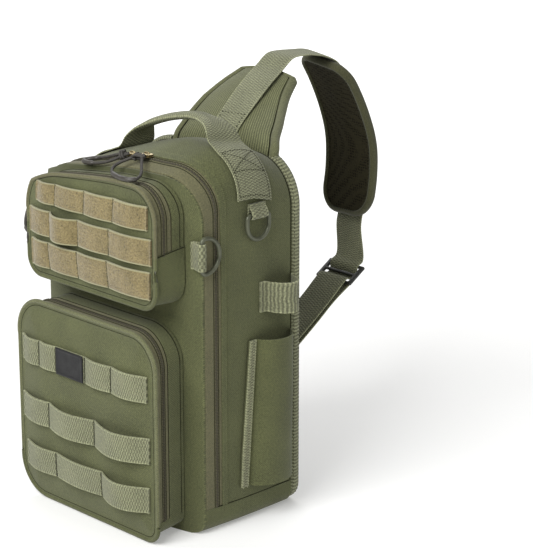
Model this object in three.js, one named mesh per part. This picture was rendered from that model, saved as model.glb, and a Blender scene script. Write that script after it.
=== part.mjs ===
// A one-strap fishing backpack that stands on its base, in millimetres.
// X runs across the bag, Y from its front to its back and Z up; the origin is the middle of the base.
import * as THREE from 'three';
import { mergeVertices } from 'three/addons/utils/BufferGeometryUtils.js';

// Cloth, webbing and clearances
const CLOTH = 2;
const WEBBING = 1.8;
const STRAP_WIDTH = 38;
const GAP = 0.3;
const SEAT = 0.5;

// Main compartment: its walls swell between the front and back seams
const BODY = {
  halfWidth: 113, depth: 128, frontTop: 349, rearTop: 349, frontRadius: 42, rearRadius: 46,
  baseRadius: 14, seam: 25, topSwell: 20, sideSwell: 1.5, zipFrom: -61.4, coil: -48, zipTo: -36,
};
const FRONT = -BODY.depth / 2;
const BACK = BODY.depth / 2;

// The bag is soft: its front wall curves back towards both sides, and its upper left slumps.
// A slump row gives the share of the slump at a depth, and the height where it starts.
const BEND = { fromX: 40, toX: 113, back: 12, pocketY: -80, fullY: -36, endY: -6 };
const SLUMP = { fromX: 45, slope: 0.36, ease: 40, fullHeight: 345 };
const SLUMP_ROWS = [
  { y: -64, share: 0.42, low: 322 }, { y: -48, share: 0.65, low: 200 }, { y: -20, share: 1, low: 200 },
  { y: 15, share: 1, low: 200 }, { y: 64, share: 0.35, low: 200 }, { y: 110, share: 0, low: 200 },
];

// Pockets: the outline of the front face, and of the root where the pocket joins the main wall
const UPPER = {
  front: -93, crown: 3, piping: 2, zipFrom: -88, coil: -81, zipTo: -74,
  face: {
    halfWidth: 91, bottom: 231, top: 341, bottomRadius: 16, topRadius: 30, leftTopRadius: 46, seam: 280,
  },
  root: {
    halfWidth: 95, bottom: 229, top: 345, bottomRadius: 18, topRadius: 32, leftTopRadius: 48, seam: 280,
  },
};
const LOWER = {
  front: -102, crown: 5, piping: 2.2, zipFrom: -96, coil: -88, zipTo: -80,
  face: {
    halfWidth: 99, bottom: 5.6, top: 202, bottomRadius: 34, rightRadius: 12, topRadius: 32,
    seam: 46, rightSeam: 21,
  },
  root: {
    halfWidth: 92, bottom: 6, top: 208, bottomRadius: 34, rightRadius: 13, topRadius: 36,
    seam: 46, rightSeam: 21,
  },
};
const PIPING_CLEAR = 0.6;
const RIM = 4;
const CROWN_REACH = 40;
const COIL = { halfWidth: 2.6, lift: 1.4 };

// Rows across the pockets: height range, the bar tacks along X and the bow of the cell after each tack
const LOOP_ROWS = [
  { name: 'loop_row_top', low: 305, high: 328, tacks: [-72, -45, -2, 40, 82.5], bows: [2.5, 2.5, 2.5, 2.5] },
  { name: 'loop_row_middle', low: 272, high: 297.5, tacks: [-84, -53, -11, 34, 87], bows: [2, 9, 2.5, 2.5] },
  { name: 'loop_row_bottom', low: 239, high: 266, tacks: [-82, -57, -14, 30, 85], bows: [2, 2.5, 2.5, 2.5] },
];
const WEBBING_ROWS = [
  { name: 'webbing_row_top', low: 142, high: 168, tacks: [-90, -62, -36, 8, 46, 89], bows: [3, 2, 0, 3, 3] },
  { name: 'webbing_row_middle', low: 81.5, high: 107.5, tacks: [-92, -49, 20, 91], bows: [3, 8, 9.5] },
  { name: 'webbing_row_bottom', low: 32, high: 57.5, tacks: [-87, -40, 29, 90], bows: [3, 4, 9.5] },
];
const CELL_STEPS = 5;
const ROW_END = 3;
const LABEL = { x: -14, z: 155, width: 40, height: 27, thickness: 1.6, corner: 2 };

// Padded back and yoke
const BACK_PAD = {
  section: { halfWidth: 109, bottom: 6, top: 347.6, bottomRadius: 14, topRadius: 44, seam: 60 },
  rim: 7, crown: 4,
};
const BACK_FACE = BACK + GAP + BACK_PAD.rim + BACK_PAD.crown;
const BINDING = { clear: 0.6, thickness: 5, width: 11 };
const YOKE_THICKNESS = 10;
const YOKE_ROWS = [
  { y: 70, z: 348.2, x: 13, halfWidth: 68.5, droop: 0, webX: 12 },
  { y: 71.5, z: 354, x: 13, halfWidth: 68, droop: 0, webX: 12 },
  { y: 80, z: 363.5, x: 9.5, halfWidth: 63.5, droop: 2, webX: 11 },
  { y: 96, z: 376, x: 3, halfWidth: 58.5, droop: 6, webX: 9 },
  { y: 113, z: 387, x: -3, halfWidth: 51.5, droop: 8, webX: 6 },
  { y: 129.5, z: 397, x: -6, halfWidth: 43.5, droop: 7, webX: 3 },
  { y: 147, z: 406, x: -5, halfWidth: 35, droop: 4, webX: 0 },
];
const YOKE_BINDING = { clear: 0.5, thickness: 4, width: 9 };

// Grab handle: angles round the shoulder where it is sewn down, then the free half of its arch.
// The lean is the slope of the strap towards the back.
const HANDLE_Y = 12;
const HANDLE_FOOT = { y: 9.5, width: 47 };
const HANDLE_SEAT = 1.9;
const HANDLE_SEWN_DEGREES = [-1, 20, 41, 62];
const HANDLE_LEFT = { sewnDegrees: [-1, 20, 41, 62, 82], archShare: 0.66 };
const HANDLE_ARCH = [
  { x: 76, z: 370, lean: -0.16, width: 44, thickness: 2 },
  { x: 71, z: 378, lean: -0.1, width: 39, thickness: 2.4 },
  { x: 62, z: 385, lean: -0.05, width: 29, thickness: 4.5 },
  { x: 46, z: 388.5, lean: 0, width: 19, thickness: 7.5 },
  { x: 23, z: 390, lean: 0, width: 17, thickness: 8 },
  { x: 0, z: 390.5, lean: 0, width: 17, thickness: 8 },
];

// Rings: each lies in a webbing loop that folds round its straight bar
const RING_WIRE = 2;
const RING_PLAY = 0.5;
const RING_CORNER = 4;
const HANDLE_RING = { width: 28, height: 24, y: 13.5, barZ: 307.5, loopWidth: 20, loopLength: 10.5 };
const SIDE_RING = { width: 34, height: 22, barX: 117.6, z: 279, loopWidth: 26, loopLength: 13 };

// Rod holder on the right side: a share along the section, and a share of its reach from the wall
const ROD_LOOP = { front: 19, rear: 62.5, low: 209, high: 239, reach: 22 };
const ROD_SLEEVE = { frontLow: -9, frontHigh: 4, rear: 62.5, low: 38, high: 184, reach: 17 };
const ROD_SECTION = [
  { along: 0, out: 0 }, { along: 0.14, out: 0 }, { along: 0.22, out: 0.4 }, { along: 0.34, out: 0.78 },
  { along: 0.48, out: 0.97 }, { along: 0.6, out: 1 }, { along: 0.73, out: 0.9 }, { along: 0.85, out: 0.6 },
  { along: 0.94, out: 0.12 }, { along: 1, out: 0 },
];
const SLEEVE_EDGE_SHARE = 0.13;

// Shoulder pad: the middle of its inner face from the top end down, and its section
const PAD_ROUTE = [
  { x: 0, y: 213, z: 407.5 }, { x: 1, y: 229, z: 384.5 }, { x: 5, y: 243, z: 350.5 },
  { x: 9, y: 248.5, z: 321.5 }, { x: 12, y: 246.5, z: 291.5 }, { x: 13, y: 241, z: 262.5 },
  { x: 13.5, y: 237, z: 245.5 },
];
const PAD = { halfWidth: 35.5, mesh: 2.6, thickness: 11, twistDegrees: 9 };
const PAD_BINDING = { clear: 0.5, thickness: 4.5, width: 9 };

// Strap webbing: its free run over the top, and its run from the slide to the anchor
const UPPER_WEB_RUN = [
  { y: 159, z: 421.5 }, { y: 174, z: 422.5 }, { y: 194, z: 420.5 }, { y: 211, z: 417.5 },
];
const UPPER_WEB_YOKE_START = 0.14;
const UPPER_WEB_TURN = [185, 212];
const UPPER_WEB_ON_PAD = [4, 20, 38];
const WEB_SEAT_ON_PAD = { upper: 9.95, lower: 10.4 };
const LOWER_WEB_RUN = [
  { x: 35, y: 181, z: 173.8 }, { x: 32, y: 160, z: 155.5 }, { x: 28.5, y: 139, z: 137.5 },
  { x: 25, y: 119, z: 120 }, { x: 22, y: 102, z: 104.5 }, { x: 20.5, y: 93, z: 96 },
];
const LOWER_WEB_PLY_DROP = { y: 3.4, z: -3.8 };
const SLIDE = {
  x: 36, y: 212, z: 192.5, width: 49, length: 26, thickness: 3.5, bar: 3, slot: 39.6, pitchDegrees: 32,
};
const SLIDE_WEAVE = [
  { along: 18, lift: 3.4 }, { along: 9.2, lift: 3.4 }, { along: 2.4, lift: -3.9 },
  { along: -2.4, lift: -3.9 }, { along: -9.2, lift: 3.4 }, { along: -18, lift: 3.4 },
];
const LOWER_WEB_END = { along: -7, lift: -5 };
const ANCHOR = { x: 20, width: 45, slot: 39.6, thickness: 3.5 };
const ANCHOR_ROWS = [
  { y: 0, z: 36 }, { y: 0, z: 56 }, { y: 2.6, z: 66 }, { y: 8.1, z: 76.5 }, { y: 10.6, z: 81 },
];
const ANCHOR_TURN = [
  { along: 11, out: 3.8 }, { along: 0, out: 3.6 }, { along: -3.9, out: 2.9 }, { along: -5.2, out: 0 },
  { along: -3.9, out: -2.9 }, { along: 0, out: -3.6 }, { along: 11, out: -3.8 },
];

// Zipper sliders and cord pulls: loops hanging down a wall, and two lying over the front edge of the top
const SLIDER = { length: 12, width: 8, nose: 5, height: 4 };
const CORD_DIAMETER = 3;
const CORD_SIDES = 8;
const CORD_STEPS = 10;
const HANGING_PULL = [
  { along: -1.9, out: 5.85, over: 5.85, down: 4 }, { along: -2.4, out: 5.9, over: 5.9, down: 7.5 },
  { along: -3.4, out: 5.6, over: 6, down: 11 }, { along: -5.6, out: 4.4, over: 6.1, down: 16.5 },
  { along: -7.8, out: 2.8, over: 6.1, down: 22 }, { along: -9.2, out: 2.7, over: 6.1, down: 27.5 },
  { along: -9.4, out: 2.6, over: 6.1, down: 33 }, { along: -7.4, out: 2.6, over: 6.1, down: 38 },
  { along: -3.8, out: 2.6, over: 6.1, down: 41.5 }, { along: 0, out: 2.6, over: 6.1, down: 42.4 },
  { along: 3.8, out: 2.6, over: 6.1, down: 41.5 }, { along: 7.4, out: 2.6, over: 6.1, down: 38 },
  { along: 9.4, out: 2.6, over: 6.1, down: 33 }, { along: 9.2, out: 2.7, over: 6.1, down: 27.5 },
  { along: 7.8, out: 2.8, over: 6.1, down: 22 }, { along: 5.6, out: 4.4, over: 6.1, down: 16.5 },
  { along: 3.4, out: 5.6, over: 6, down: 11 }, { along: 2.4, out: 5.9, over: 5.9, down: 7.5 },
  { along: 1.9, out: 5.85, over: 5.85, down: 4 },
];
const MAIN_PULL_RIGHT = [
  { x: 31.5, y: -53.2, z: 361 }, { x: 29, y: -57, z: 360 }, { x: 25, y: -62, z: 357.5 },
  { x: 19, y: -68, z: 354 }, { x: 17, y: -74, z: 351 }, { x: 20, y: -80, z: 349 },
  { x: 28, y: -86, z: 348 }, { x: 38, y: -90.5, z: 348 }, { x: 48, y: -92.5, z: 348 },
  { x: 57, y: -91.5, z: 348 }, { x: 61.5, y: -87, z: 348.2 }, { x: 60, y: -80, z: 350 },
  { x: 54, y: -73, z: 353 }, { x: 46, y: -66, z: 356.5 }, { x: 40, y: -60, z: 359.5 },
  { x: 36, y: -56, z: 361 }, { x: 34.5, y: -53.2, z: 361 },
];
const MAIN_PULL_LEFT = [
  { x: 11.5, y: -54, z: 359 }, { x: 5, y: -57, z: 357.5 }, { x: -3, y: -58, z: 355 },
  { x: -12, y: -57, z: 352 }, { x: -22, y: -57, z: 349.5 }, { x: -32, y: -58, z: 347 },
  { x: -38, y: -61, z: 345.5 }, { x: -39, y: -65, z: 345 }, { x: -34, y: -68, z: 345 },
  { x: -26, y: -68.5, z: 345.5 }, { x: -17, y: -67.5, z: 346.5 }, { x: -8, y: -65.5, z: 348.5 },
  { x: 0, y: -62, z: 351.5 }, { x: 7, y: -58, z: 355.5 }, { x: 14.5, y: -54, z: 359 },
];
const MAIN_SLIDERS = { right: 33, left: 13 };
const SIDE_SLIDER_STEP = 14;
const PULLS = { upper: 293, lower: 72 };

// Finishes
function finish(color, roughness, metalness = 0) {
  return new THREE.MeshStandardMaterial({ color, roughness, metalness });
}

const FABRIC = finish(0x575c3a, 0.85);
const STRAP_FABRIC = finish(0x7d8263, 0.8);
const LOOP_PILE = finish(0x8c8054, 0.95);
const ZIPPER_TAPE = finish(0x857a5c, 0.8);
const MESH_CLOTH = finish(0x24271f, 0.9);
const PATCH = finish(0x101112, 0.7);
const CORD = finish(0x4b474a, 0.6);
const RING_METAL = finish(0x5c5f4c, 0.45, 0.6);
const SLIDER_METAL = finish(0x8a7648, 0.35, 0.9);
const MOULDED = finish(0x23261c, 0.5);

// Shared arithmetic
const { lerp, clamp, degToRad } = THREE.MathUtils;
const vector = (x, y, z) => new THREE.Vector3(x, y, z);
const UP = vector(0, 0, 1);
const ACROSS = vector(1, 0, 0);

// A closed solid from its points and triangles, turned so that its faces point out
function solid(points, triangles) {
  let volume = 0;
  const cross = new THREE.Vector3();
  for (let k = 0; k < triangles.length; k += 3) {
    const [a, b, c] = triangles.slice(k, k + 3).map((id) => points[id]);
    volume += a.dot(cross.crossVectors(b, c));
  }
  const geometry = new THREE.BufferGeometry().setFromPoints(points);
  geometry.setIndex(volume < 0 ? [...triangles].reverse() : triangles);
  geometry.computeVertexNormals();
  return geometry;
}

// A sheet with an outer and an inner grid of points, closed round every free edge.
// filled(row, column) is false where the cloth has a slot.
function sheet(outer, inner, { wrap = false, filled = () => true } = {}) {
  const rows = outer.length;
  const columns = outer[0].length;
  const rowCells = wrap ? rows : rows - 1;
  const at = (side, row, column) => (side * rows + (row % rows)) * columns + column;
  const holdsCloth = (row, column) => {
    if (column < 0 || column > columns - 2) return false;
    if (!wrap && (row < 0 || row >= rowCells)) return false;
    return filled((row + rowCells) % rowCells, column);
  };
  const triangles = [];
  const quad = (a, b, c, d) => triangles.push(a, b, c, a, c, d);
  const corners = [[0, 0], [1, 0], [1, 1], [0, 1]];
  const beyondEdge = [[0, -1], [1, 0], [0, 1], [-1, 0]];
  for (let row = 0; row < rowCells; row += 1) {
    for (let column = 0; column < columns - 1; column += 1) {
      if (!holdsCloth(row, column)) continue;
      const over = corners.map(([r, c]) => at(0, row + r, column + c));
      const under = corners.map(([r, c]) => at(1, row + r, column + c));
      quad(...over);
      quad(...[...under].reverse());
      beyondEdge.forEach(([r, c], edge) => {
        if (holdsCloth(row + r, column + c)) return;
        const next = (edge + 1) % 4;
        quad(over[next], over[edge], under[edge], under[next]);
      });
    }
  }
  return solid([...outer.flat(), ...inner.flat()], triangles);
}

// A solid lofted through closed sections; wrap joins the last section to the first
function loft(sections, wrap = false) {
  const sides = sections[0].length;
  const last = sections.length - 1;
  const at = (section, side) => (section % sections.length) * sides + (side % sides);
  const triangles = [];
  for (let section = 0; section < (wrap ? last + 1 : last); section += 1) {
    for (let side = 0; side < sides; side += 1) {
      const near = [at(section, side), at(section, side + 1)];
      const far = [at(section + 1, side), at(section + 1, side + 1)];
      triangles.push(near[0], near[1], far[1], near[0], far[1], far[0]);
    }
  }
  for (let side = 1; !wrap && side < sides - 1; side += 1) {
    triangles.push(at(0, 0), at(0, side + 1), at(0, side));
    triangles.push(at(last, 0), at(last, side), at(last, side + 1));
  }
  return solid(sections.flat(), triangles);
}

// Directions along a path of points
function tangents(path, wrap = false) {
  const count = path.length;
  return path.map((point, k) => {
    const before = wrap ? path[(k + count - 1) % count] : path[Math.max(k - 1, 0)];
    const after = wrap ? path[(k + 1) % count] : path[Math.min(k + 1, count - 1)];
    return after.clone().sub(before).normalize();
  });
}

// A flat strap along a path; across is the direction of its width, the same all along or one for each point
function ribbon(path, across, width, thickness, shares = [-0.5, 0.5], filled = () => true) {
  const along = tangents(path);
  const wide = Array.isArray(across) ? across : path.map(() => across);
  const skin = (side) => path.map((point, k) => {
    const normal = along[k].clone().cross(wide[k]).normalize();
    const lifted = point.clone().addScaledVector(normal, side * thickness / 2);
    return shares.map((share) => lifted.clone().addScaledVector(wide[k], share * width));
  });
  return sheet(skin(1), skin(-1), { filled });
}

const throughPoints = (points) => new THREE.CatmullRomCurve3(points, false, 'centripetal');
const smooth = (points, steps) => throughPoints(points).getSpacedPoints(steps);

// An oval section of a given width and height, as shares of each
const OVAL = [[-0.5, 0], [-0.32, -0.5], [0.32, -0.5], [0.5, 0], [0.32, 0.5], [-0.32, 0.5]];
const oval = (centre, wide, width, high, height) => OVAL.map(([a, b]) => (
  centre.clone().addScaledVector(wide, a * width).addScaledVector(high, b * height)
));

// Outlines: points round an upright rounded rectangle, from the middle of its bottom edge to +X first.
// The seam is a height on the straight side where a zipper or the base panel ends; the right may differ.
const BOTTOM_STEPS = 2;
const CORNER_STEPS = 4;
const SIDE_STEPS = 4;
const TOP_STEPS = 3;
const SEAM_POINT = BOTTOM_STEPS + CORNER_STEPS + 1;
const TOP_MIDDLE = SEAM_POINT + SIDE_STEPS + CORNER_STEPS + TOP_STEPS;
const OUTLINE_POINTS = 2 * TOP_MIDDLE;
const ARCH_END = OUTLINE_POINTS - SEAM_POINT;

function halfOutline({ halfWidth, bottom, top }, lowRadius, topRadius, seam) {
  const half = [];
  const put = (x, z) => half.push({ x, z });
  const low = { x: halfWidth - lowRadius, z: bottom + lowRadius };
  const high = { x: halfWidth - topRadius, z: top - topRadius };
  const arc = (centre, radius, fromDegrees) => {
    for (let k = 0; k <= CORNER_STEPS; k += 1) {
      const angle = degToRad(fromDegrees + 90 * k / CORNER_STEPS);
      put(centre.x + radius * Math.cos(angle), centre.z + radius * Math.sin(angle));
    }
  };
  for (let k = 0; k < BOTTOM_STEPS; k += 1) put(low.x * k / BOTTOM_STEPS, bottom);
  arc(low, lowRadius, -90);
  for (let k = 0; k < SIDE_STEPS; k += 1) put(halfWidth, lerp(seam, high.z, k / SIDE_STEPS));
  arc(high, topRadius, 0);
  for (let k = 1; k <= TOP_STEPS; k += 1) put(high.x * (1 - k / TOP_STEPS), top);
  return half;
}

function outline(section) {
  const { bottomRadius, rightRadius = bottomRadius, seam, rightSeam = seam } = section;
  const { topRadius, leftTopRadius = topRadius } = section;
  const right = halfOutline(section, rightRadius, topRadius, rightSeam);
  const left = halfOutline(section, bottomRadius, leftTopRadius, seam).slice(1, -1).reverse();
  return [...right, ...left.map(({ x, z }) => ({ x: -x, z }))];
}

// Outward directions at the points of an outline, long enough to offset both edges evenly
function outwards(points) {
  const count = points.length;
  const edgeNormal = (a, b) => {
    const length = Math.hypot(b.x - a.x, b.z - a.z);
    return { x: (b.z - a.z) / length, z: (a.x - b.x) / length };
  };
  return points.map((point, k) => {
    const before = edgeNormal(points[(k + count - 1) % count], point);
    const after = edgeNormal(point, points[(k + 1) % count]);
    const scale = 1 / (1 + before.x * after.x + before.z * after.z);
    return { x: (before.x + after.x) * scale, z: (before.z + after.z) * scale };
  });
}

function offset(points, distance) {
  const out = outwards(points);
  return points.map(({ x, z }, k) => ({ x: x + out[k].x * distance, z: z + out[k].z * distance }));
}

const mixSections = (a, b, share) => Object.fromEntries(
  Object.keys(a).map((key) => [key, lerp(a[key], b[key], share)]),
);

// Cloth that runs round an outline: one column for each line of the band, front to back
function band(columns, { first = 0, last = OUTLINE_POINTS - 1, wrap = false, filled } = {}) {
  const skin = (distance) => {
    const lines = columns.map(({ section, lift = 0 }) => (
      offset(outline(section), distance === 0 ? lift : -distance)
    ));
    const rows = [];
    for (let k = first; k <= last; k += 1) {
      rows.push(columns.map(({ y }, c) => {
        const { x, z } = lines[c][k % OUTLINE_POINTS];
        return vector(x, y, z);
      }));
    }
    return rows;
  };
  return sheet(skin(0), skin(CLOTH), { wrap, filled });
}

// Half the width of an outline at a height, on its right or its left; its corners are chords of an arc
function halfWidthAt(section, z, onRight) {
  const { halfWidth, bottom, top, bottomRadius, rightRadius = bottomRadius } = section;
  const { topRadius, leftTopRadius = topRadius } = section;
  const lowRadius = onRight ? rightRadius : bottomRadius;
  const rise = (radius, depth) => {
    if (depth >= radius) return 0;
    const step = Math.acos(1 - Math.max(depth, 0) / radius) / (Math.PI / 2) * CORNER_STEPS;
    const [before, after] = [Math.floor(step + 1e-9), Math.floor(step + 1e-9) + 1].map((k) => {
      const angle = Math.PI / 2 * k / CORNER_STEPS;
      return { depth: radius * (1 - Math.cos(angle)), inset: radius * (1 - Math.sin(angle)) };
    });
    return lerp(before.inset, after.inset, (depth - before.depth) / (after.depth - before.depth));
  };
  return halfWidth - rise(lowRadius, z - bottom) - rise(onRight ? topRadius : leftTopRadius, top - z);
}

// How far a filled face has swollen at a point: 0 at the rim, 1 inside
function swellAt(section, x, z) {
  const fromSide = halfWidthAt(section, z, x > 0) - Math.abs(x);
  const inset = Math.min(fromSide, z - section.bottom, section.top - z) - RIM;
  return Math.sin(Math.PI / 2 * clamp(inset / CROWN_REACH, 0, 1));
}

// A panel that fills an outline; place(x, z, height) puts a point of it in space
const CROWNED_SHARES = [-1, -0.45, 0.45, 1];
const FLAT_SHARES = [-1, 0, 1];
const FRONT_SHARES = [-1, -0.85, -0.69, -0.53, -0.35, 0, 0.35, 0.53, 0.69, 0.85, 1];
const PANEL_MIDDLE_ROWS = 4;

function panel(section, thickness, crown, place, shares = CROWNED_SHARES) {
  const { bottom, top, bottomRadius, topRadius, leftTopRadius: highRadius = topRadius } = section;
  const heights = [];
  const drop = (k) => 1 - Math.cos(Math.PI / 2 * k / CORNER_STEPS);
  for (let k = 0; k <= CORNER_STEPS; k += 1) heights.push(bottom + bottomRadius * drop(k));
  for (let k = 1; k < PANEL_MIDDLE_ROWS; k += 1) {
    heights.push(lerp(bottom + bottomRadius, top - highRadius, k / PANEL_MIDDLE_ROWS));
  }
  for (let k = CORNER_STEPS; k >= 0; k -= 1) heights.push(top - highRadius * drop(k));
  const skin = (raised) => heights.map((z) => {
    const [left, right] = [halfWidthAt(section, z, false), halfWidthAt(section, z, true)];
    const inner = shares.map((share) => share * ((share > 0 ? right : left) - RIM));
    const across = [-left, ...inner, right];
    return across.map((x) => place(x, z, raised ? thickness + crown * swellAt(section, x, z) : 0));
  });
  return sheet(skin(true), skin(false));
}

// Trim round an outline: an oval section beside the edge, over the points first to last
const WHOLE_OUTLINE = { first: 0, last: OUTLINE_POINTS - 1, wrap: true };

function trim(section, { clear, thickness, width }, place, run = WHOLE_OUTLINE) {
  const { first, last, wrap } = run;
  const points = outline(section);
  const out = outwards(points);
  const sections = [];
  for (let k = first; k <= last; k += 1) {
    const { x, z } = points[k % OUTLINE_POINTS];
    const push = out[k % OUTLINE_POINTS];
    sections.push(OVAL.map(([a, b]) => {
      const reach = clear + (b + 0.5) * thickness;
      return place(x + push.x * reach, z + push.z * reach, (a + 0.5) * width);
    }));
  }
  return loft(sections, wrap);
}

// How far a point of the soft bag moves back where the front wall curves, and down where the bag slumps
function settle({ x, y, z }) {
  const { fromX, toX, back, pocketY, fullY, endY } = BEND;
  const beside = clamp((Math.abs(x) - fromX) / (toX - fromX), 0, 1) ** 2;
  const ahead = clamp((y - pocketY) / (FRONT - pocketY), 0, 1);
  const behind = clamp((endY - y) / (endY - fullY), 0, 1);
  const after = clamp(SLUMP_ROWS.findIndex((row) => row.y > y), 1, SLUMP_ROWS.length - 1);
  const [near, far] = y < BACK ? SLUMP_ROWS.slice(after - 1, after + 1) : SLUMP_ROWS.slice(-2);
  const mixed = mixSections(near, far, clamp((y - near.y) / (far.y - near.y), 0, 1));
  const rise = clamp((z - mixed.low) / (SLUMP.fullHeight - mixed.low), 0, 1);
  const left = Math.max(0, SLUMP.fromX - x);
  const full = SLUMP.slope * left * left / (left + SLUMP.ease);
  return vector(0, back * beside * ahead * behind, -full * mixed.share * rise);
}

// The group that holds the bag
const bag = new THREE.Group();

// Each point settles by itself, or as the bag does at the place that a stiff piece is fixed to
function add(name, geometry, material, fixedTo = (point) => point) {
  const places = geometry.getAttribute('position');
  const point = new THREE.Vector3();
  for (let k = 0; k < places.count; k += 1) {
    point.fromBufferAttribute(places, k);
    point.add(settle(fixedTo(point)));
    places.setXYZ(k, point.x, point.y, point.z);
  }
  const mesh = new THREE.Mesh(geometry, material);
  mesh.name = name;
  bag.add(mesh);
  return mesh;
}

// Main compartment
function bodySection(y, seam = BODY.seam) {
  const share = (y - FRONT) / BODY.depth;
  const swell = Math.sin(Math.PI * share);
  return {
    halfWidth: BODY.halfWidth + BODY.sideSwell * swell,
    bottom: 0,
    top: lerp(BODY.frontTop, BODY.rearTop, share) + BODY.topSwell * swell,
    bottomRadius: BODY.baseRadius,
    topRadius: lerp(BODY.frontRadius, BODY.rearRadius, share),
    seam,
  };
}

const sideWall = (y) => bodySection(y).halfWidth;

function zipperColumns({ zipFrom, coil, zipTo }, sectionAt) {
  const { halfWidth, lift } = COIL;
  const lines = [[zipFrom, 0], [coil - halfWidth, 0], [coil, lift], [coil + halfWidth, 0], [zipTo, 0]];
  return lines.map(([y, raise]) => ({ y, section: sectionAt(y), lift: raise }));
}

function addMainCompartment() {
  const arch = { first: SEAM_POINT, last: ARCH_END };
  const sewn = (y) => bodySection(y, BODY.seam + GAP);
  const ahead = (x, z, h) => vector(x, FRONT + CLOTH - h, z);
  const frontWall = panel(bodySection(FRONT), CLOTH, 0, ahead, FRONT_SHARES);
  add('main_front_panel', frontWall, FABRIC);
  add('main_zipper', band(zipperColumns(BODY, sewn), arch), ZIPPER_TAPE);
  const gussetLines = [BODY.zipTo + GAP, BEND.endY, HANDLE_Y, 30, 47, BACK - GAP];
  add('main_gusset', band(gussetLines.map((y) => ({ y, section: sewn(y) })), arch), FABRIC);
  const baseLines = [FRONT + CLOTH + GAP, BEND.fullY, BEND.endY, BACK - GAP];
  const baseColumns = baseLines.map((y) => ({ y, section: bodySection(y) }));
  add('main_base', band(baseColumns, { first: ARCH_END, last: OUTLINE_POINTS + SEAM_POINT }), FABRIC);
}

// Front pockets
function pocketSection(pocket, y, seamLift = 0) {
  const share = (y - pocket.front) / (FRONT - pocket.front);
  const section = mixSections(pocket.face, pocket.root, share);
  const { seam, rightSeam = seam } = section;
  return { ...section, seam: seam + seamLift, rightSeam: rightSeam + seamLift };
}

const pocketFace = (pocket, x, z) => pocket.front - pocket.crown * swellAt(pocket.face, x, z);

function addPocket(name, pocket) {
  const rearOfFace = pocket.front + CLOTH;
  const ahead = (x, z, h) => vector(x, rearOfFace - h, z);
  add(`${name}_front`, panel(pocket.face, CLOTH, pocket.crown, ahead), FABRIC);
  const piping = { clear: PIPING_CLEAR, thickness: 2 * pocket.piping, width: 2 * pocket.piping };
  const pipingFront = pocket.front + CLOTH / 2 - pocket.piping;
  const onEdge = (x, z, w) => vector(x, pipingFront + w, z);
  add(`${name}_piping`, trim(pocket.face, piping, onEdge), FABRIC);
  const lines = [rearOfFace + GAP, pocket.zipFrom, pocket.zipTo, FRONT - 2 * SEAT];
  const zipperCell = 1;
  const filled = (row, column) => column !== zipperCell || row < SEAM_POINT || row >= ARCH_END;
  const gusset = lines.map((y) => ({ y, section: pocketSection(pocket, y) }));
  add(`${name}_gusset`, band(gusset, { wrap: true, filled }), FABRIC);
  const seated = { ...pocket, zipFrom: pocket.zipFrom + GAP, zipTo: pocket.zipTo - GAP };
  const columns = zipperColumns(seated, (y) => pocketSection(pocket, y, GAP));
  add(`${name}_zipper`, band(columns, { first: SEAM_POINT, last: ARCH_END }), ZIPPER_TAPE);
}

// A strip tacked across a pocket, bowing away from it between the tacks
function cellRow(pocket, { low, high, tacks, bows }) {
  const stations = [{ x: tacks[0] - ROW_END, bow: 0 }];
  bows.forEach((bow, cell) => {
    for (let k = 0; k < CELL_STEPS; k += 1) {
      const share = k / CELL_STEPS;
      stations.push({ x: lerp(tacks[cell], tacks[cell + 1], share), bow: bow * Math.sin(Math.PI * share) });
    }
  });
  const lastTack = tacks[tacks.length - 1];
  stations.push({ x: lastTack, bow: 0 }, { x: lastTack + ROW_END, bow: 0 });
  const skin = (depth) => stations.map(({ x, bow }) => [low, high].map((z) => (
    vector(x, pocketFace(pocket, x, z) - SEAT - bow - depth, z)
  )));
  return sheet(skin(WEBBING), skin(0));
}

function addLabel() {
  const { x, z, width, height, thickness, corner } = LABEL;
  const shape = new THREE.Shape();
  const [right, top] = [width / 2, height / 2];
  shape.absarc(right - corner, top - corner, corner, 0, Math.PI / 2);
  shape.absarc(corner - right, top - corner, corner, Math.PI / 2, Math.PI);
  shape.absarc(corner - right, corner - top, corner, Math.PI, 1.5 * Math.PI);
  shape.absarc(right - corner, corner - top, corner, 1.5 * Math.PI, 2 * Math.PI);
  const plain = { depth: thickness, bevelEnabled: false, curveSegments: 1 };
  const patch = new THREE.ExtrudeGeometry(shape, plain);
  patch.rotateX(Math.PI / 2).translate(x, LOWER.front - LOWER.crown - SEAT - WEBBING - GAP, z);
  add('label_patch', patch, PATCH);
}

// Padded back, its binding and the yoke
function addBack() {
  const rise = (x, z, h) => vector(x, BACK + GAP + h, z);
  add('back_panel', panel(BACK_PAD.section, BACK_PAD.rim, BACK_PAD.crown, rise), MESH_CLOTH);
  const shoulder = TOP_STEPS + 1;
  const openTop = { first: TOP_MIDDLE + shoulder, last: OUTLINE_POINTS + TOP_MIDDLE - shoulder - 1 };
  add('back_binding', trim(BACK_PAD.section, BINDING, rise, openTop), STRAP_FABRIC);
}

const yokeMiddle = YOKE_ROWS.map(({ x, y, z }) => vector(x, y, z));
const yokeAlong = tangents(yokeMiddle);
yokeAlong[0].copy(UP);
const yokeRise = yokeAlong.map((along) => ACROSS.clone().cross(along));

// A point of the yoke: a row, a share of its half width, and a height over its middle surface
function yokePoint(row, share, height, beyond = 0) {
  const { halfWidth, droop } = YOKE_ROWS[row];
  const across = share * halfWidth + Math.sign(share) * beyond;
  return yokeMiddle[row].clone()
    .addScaledVector(yokeRise[row], height)
    .add(vector(across, 0, -droop * share * share));
}

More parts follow.
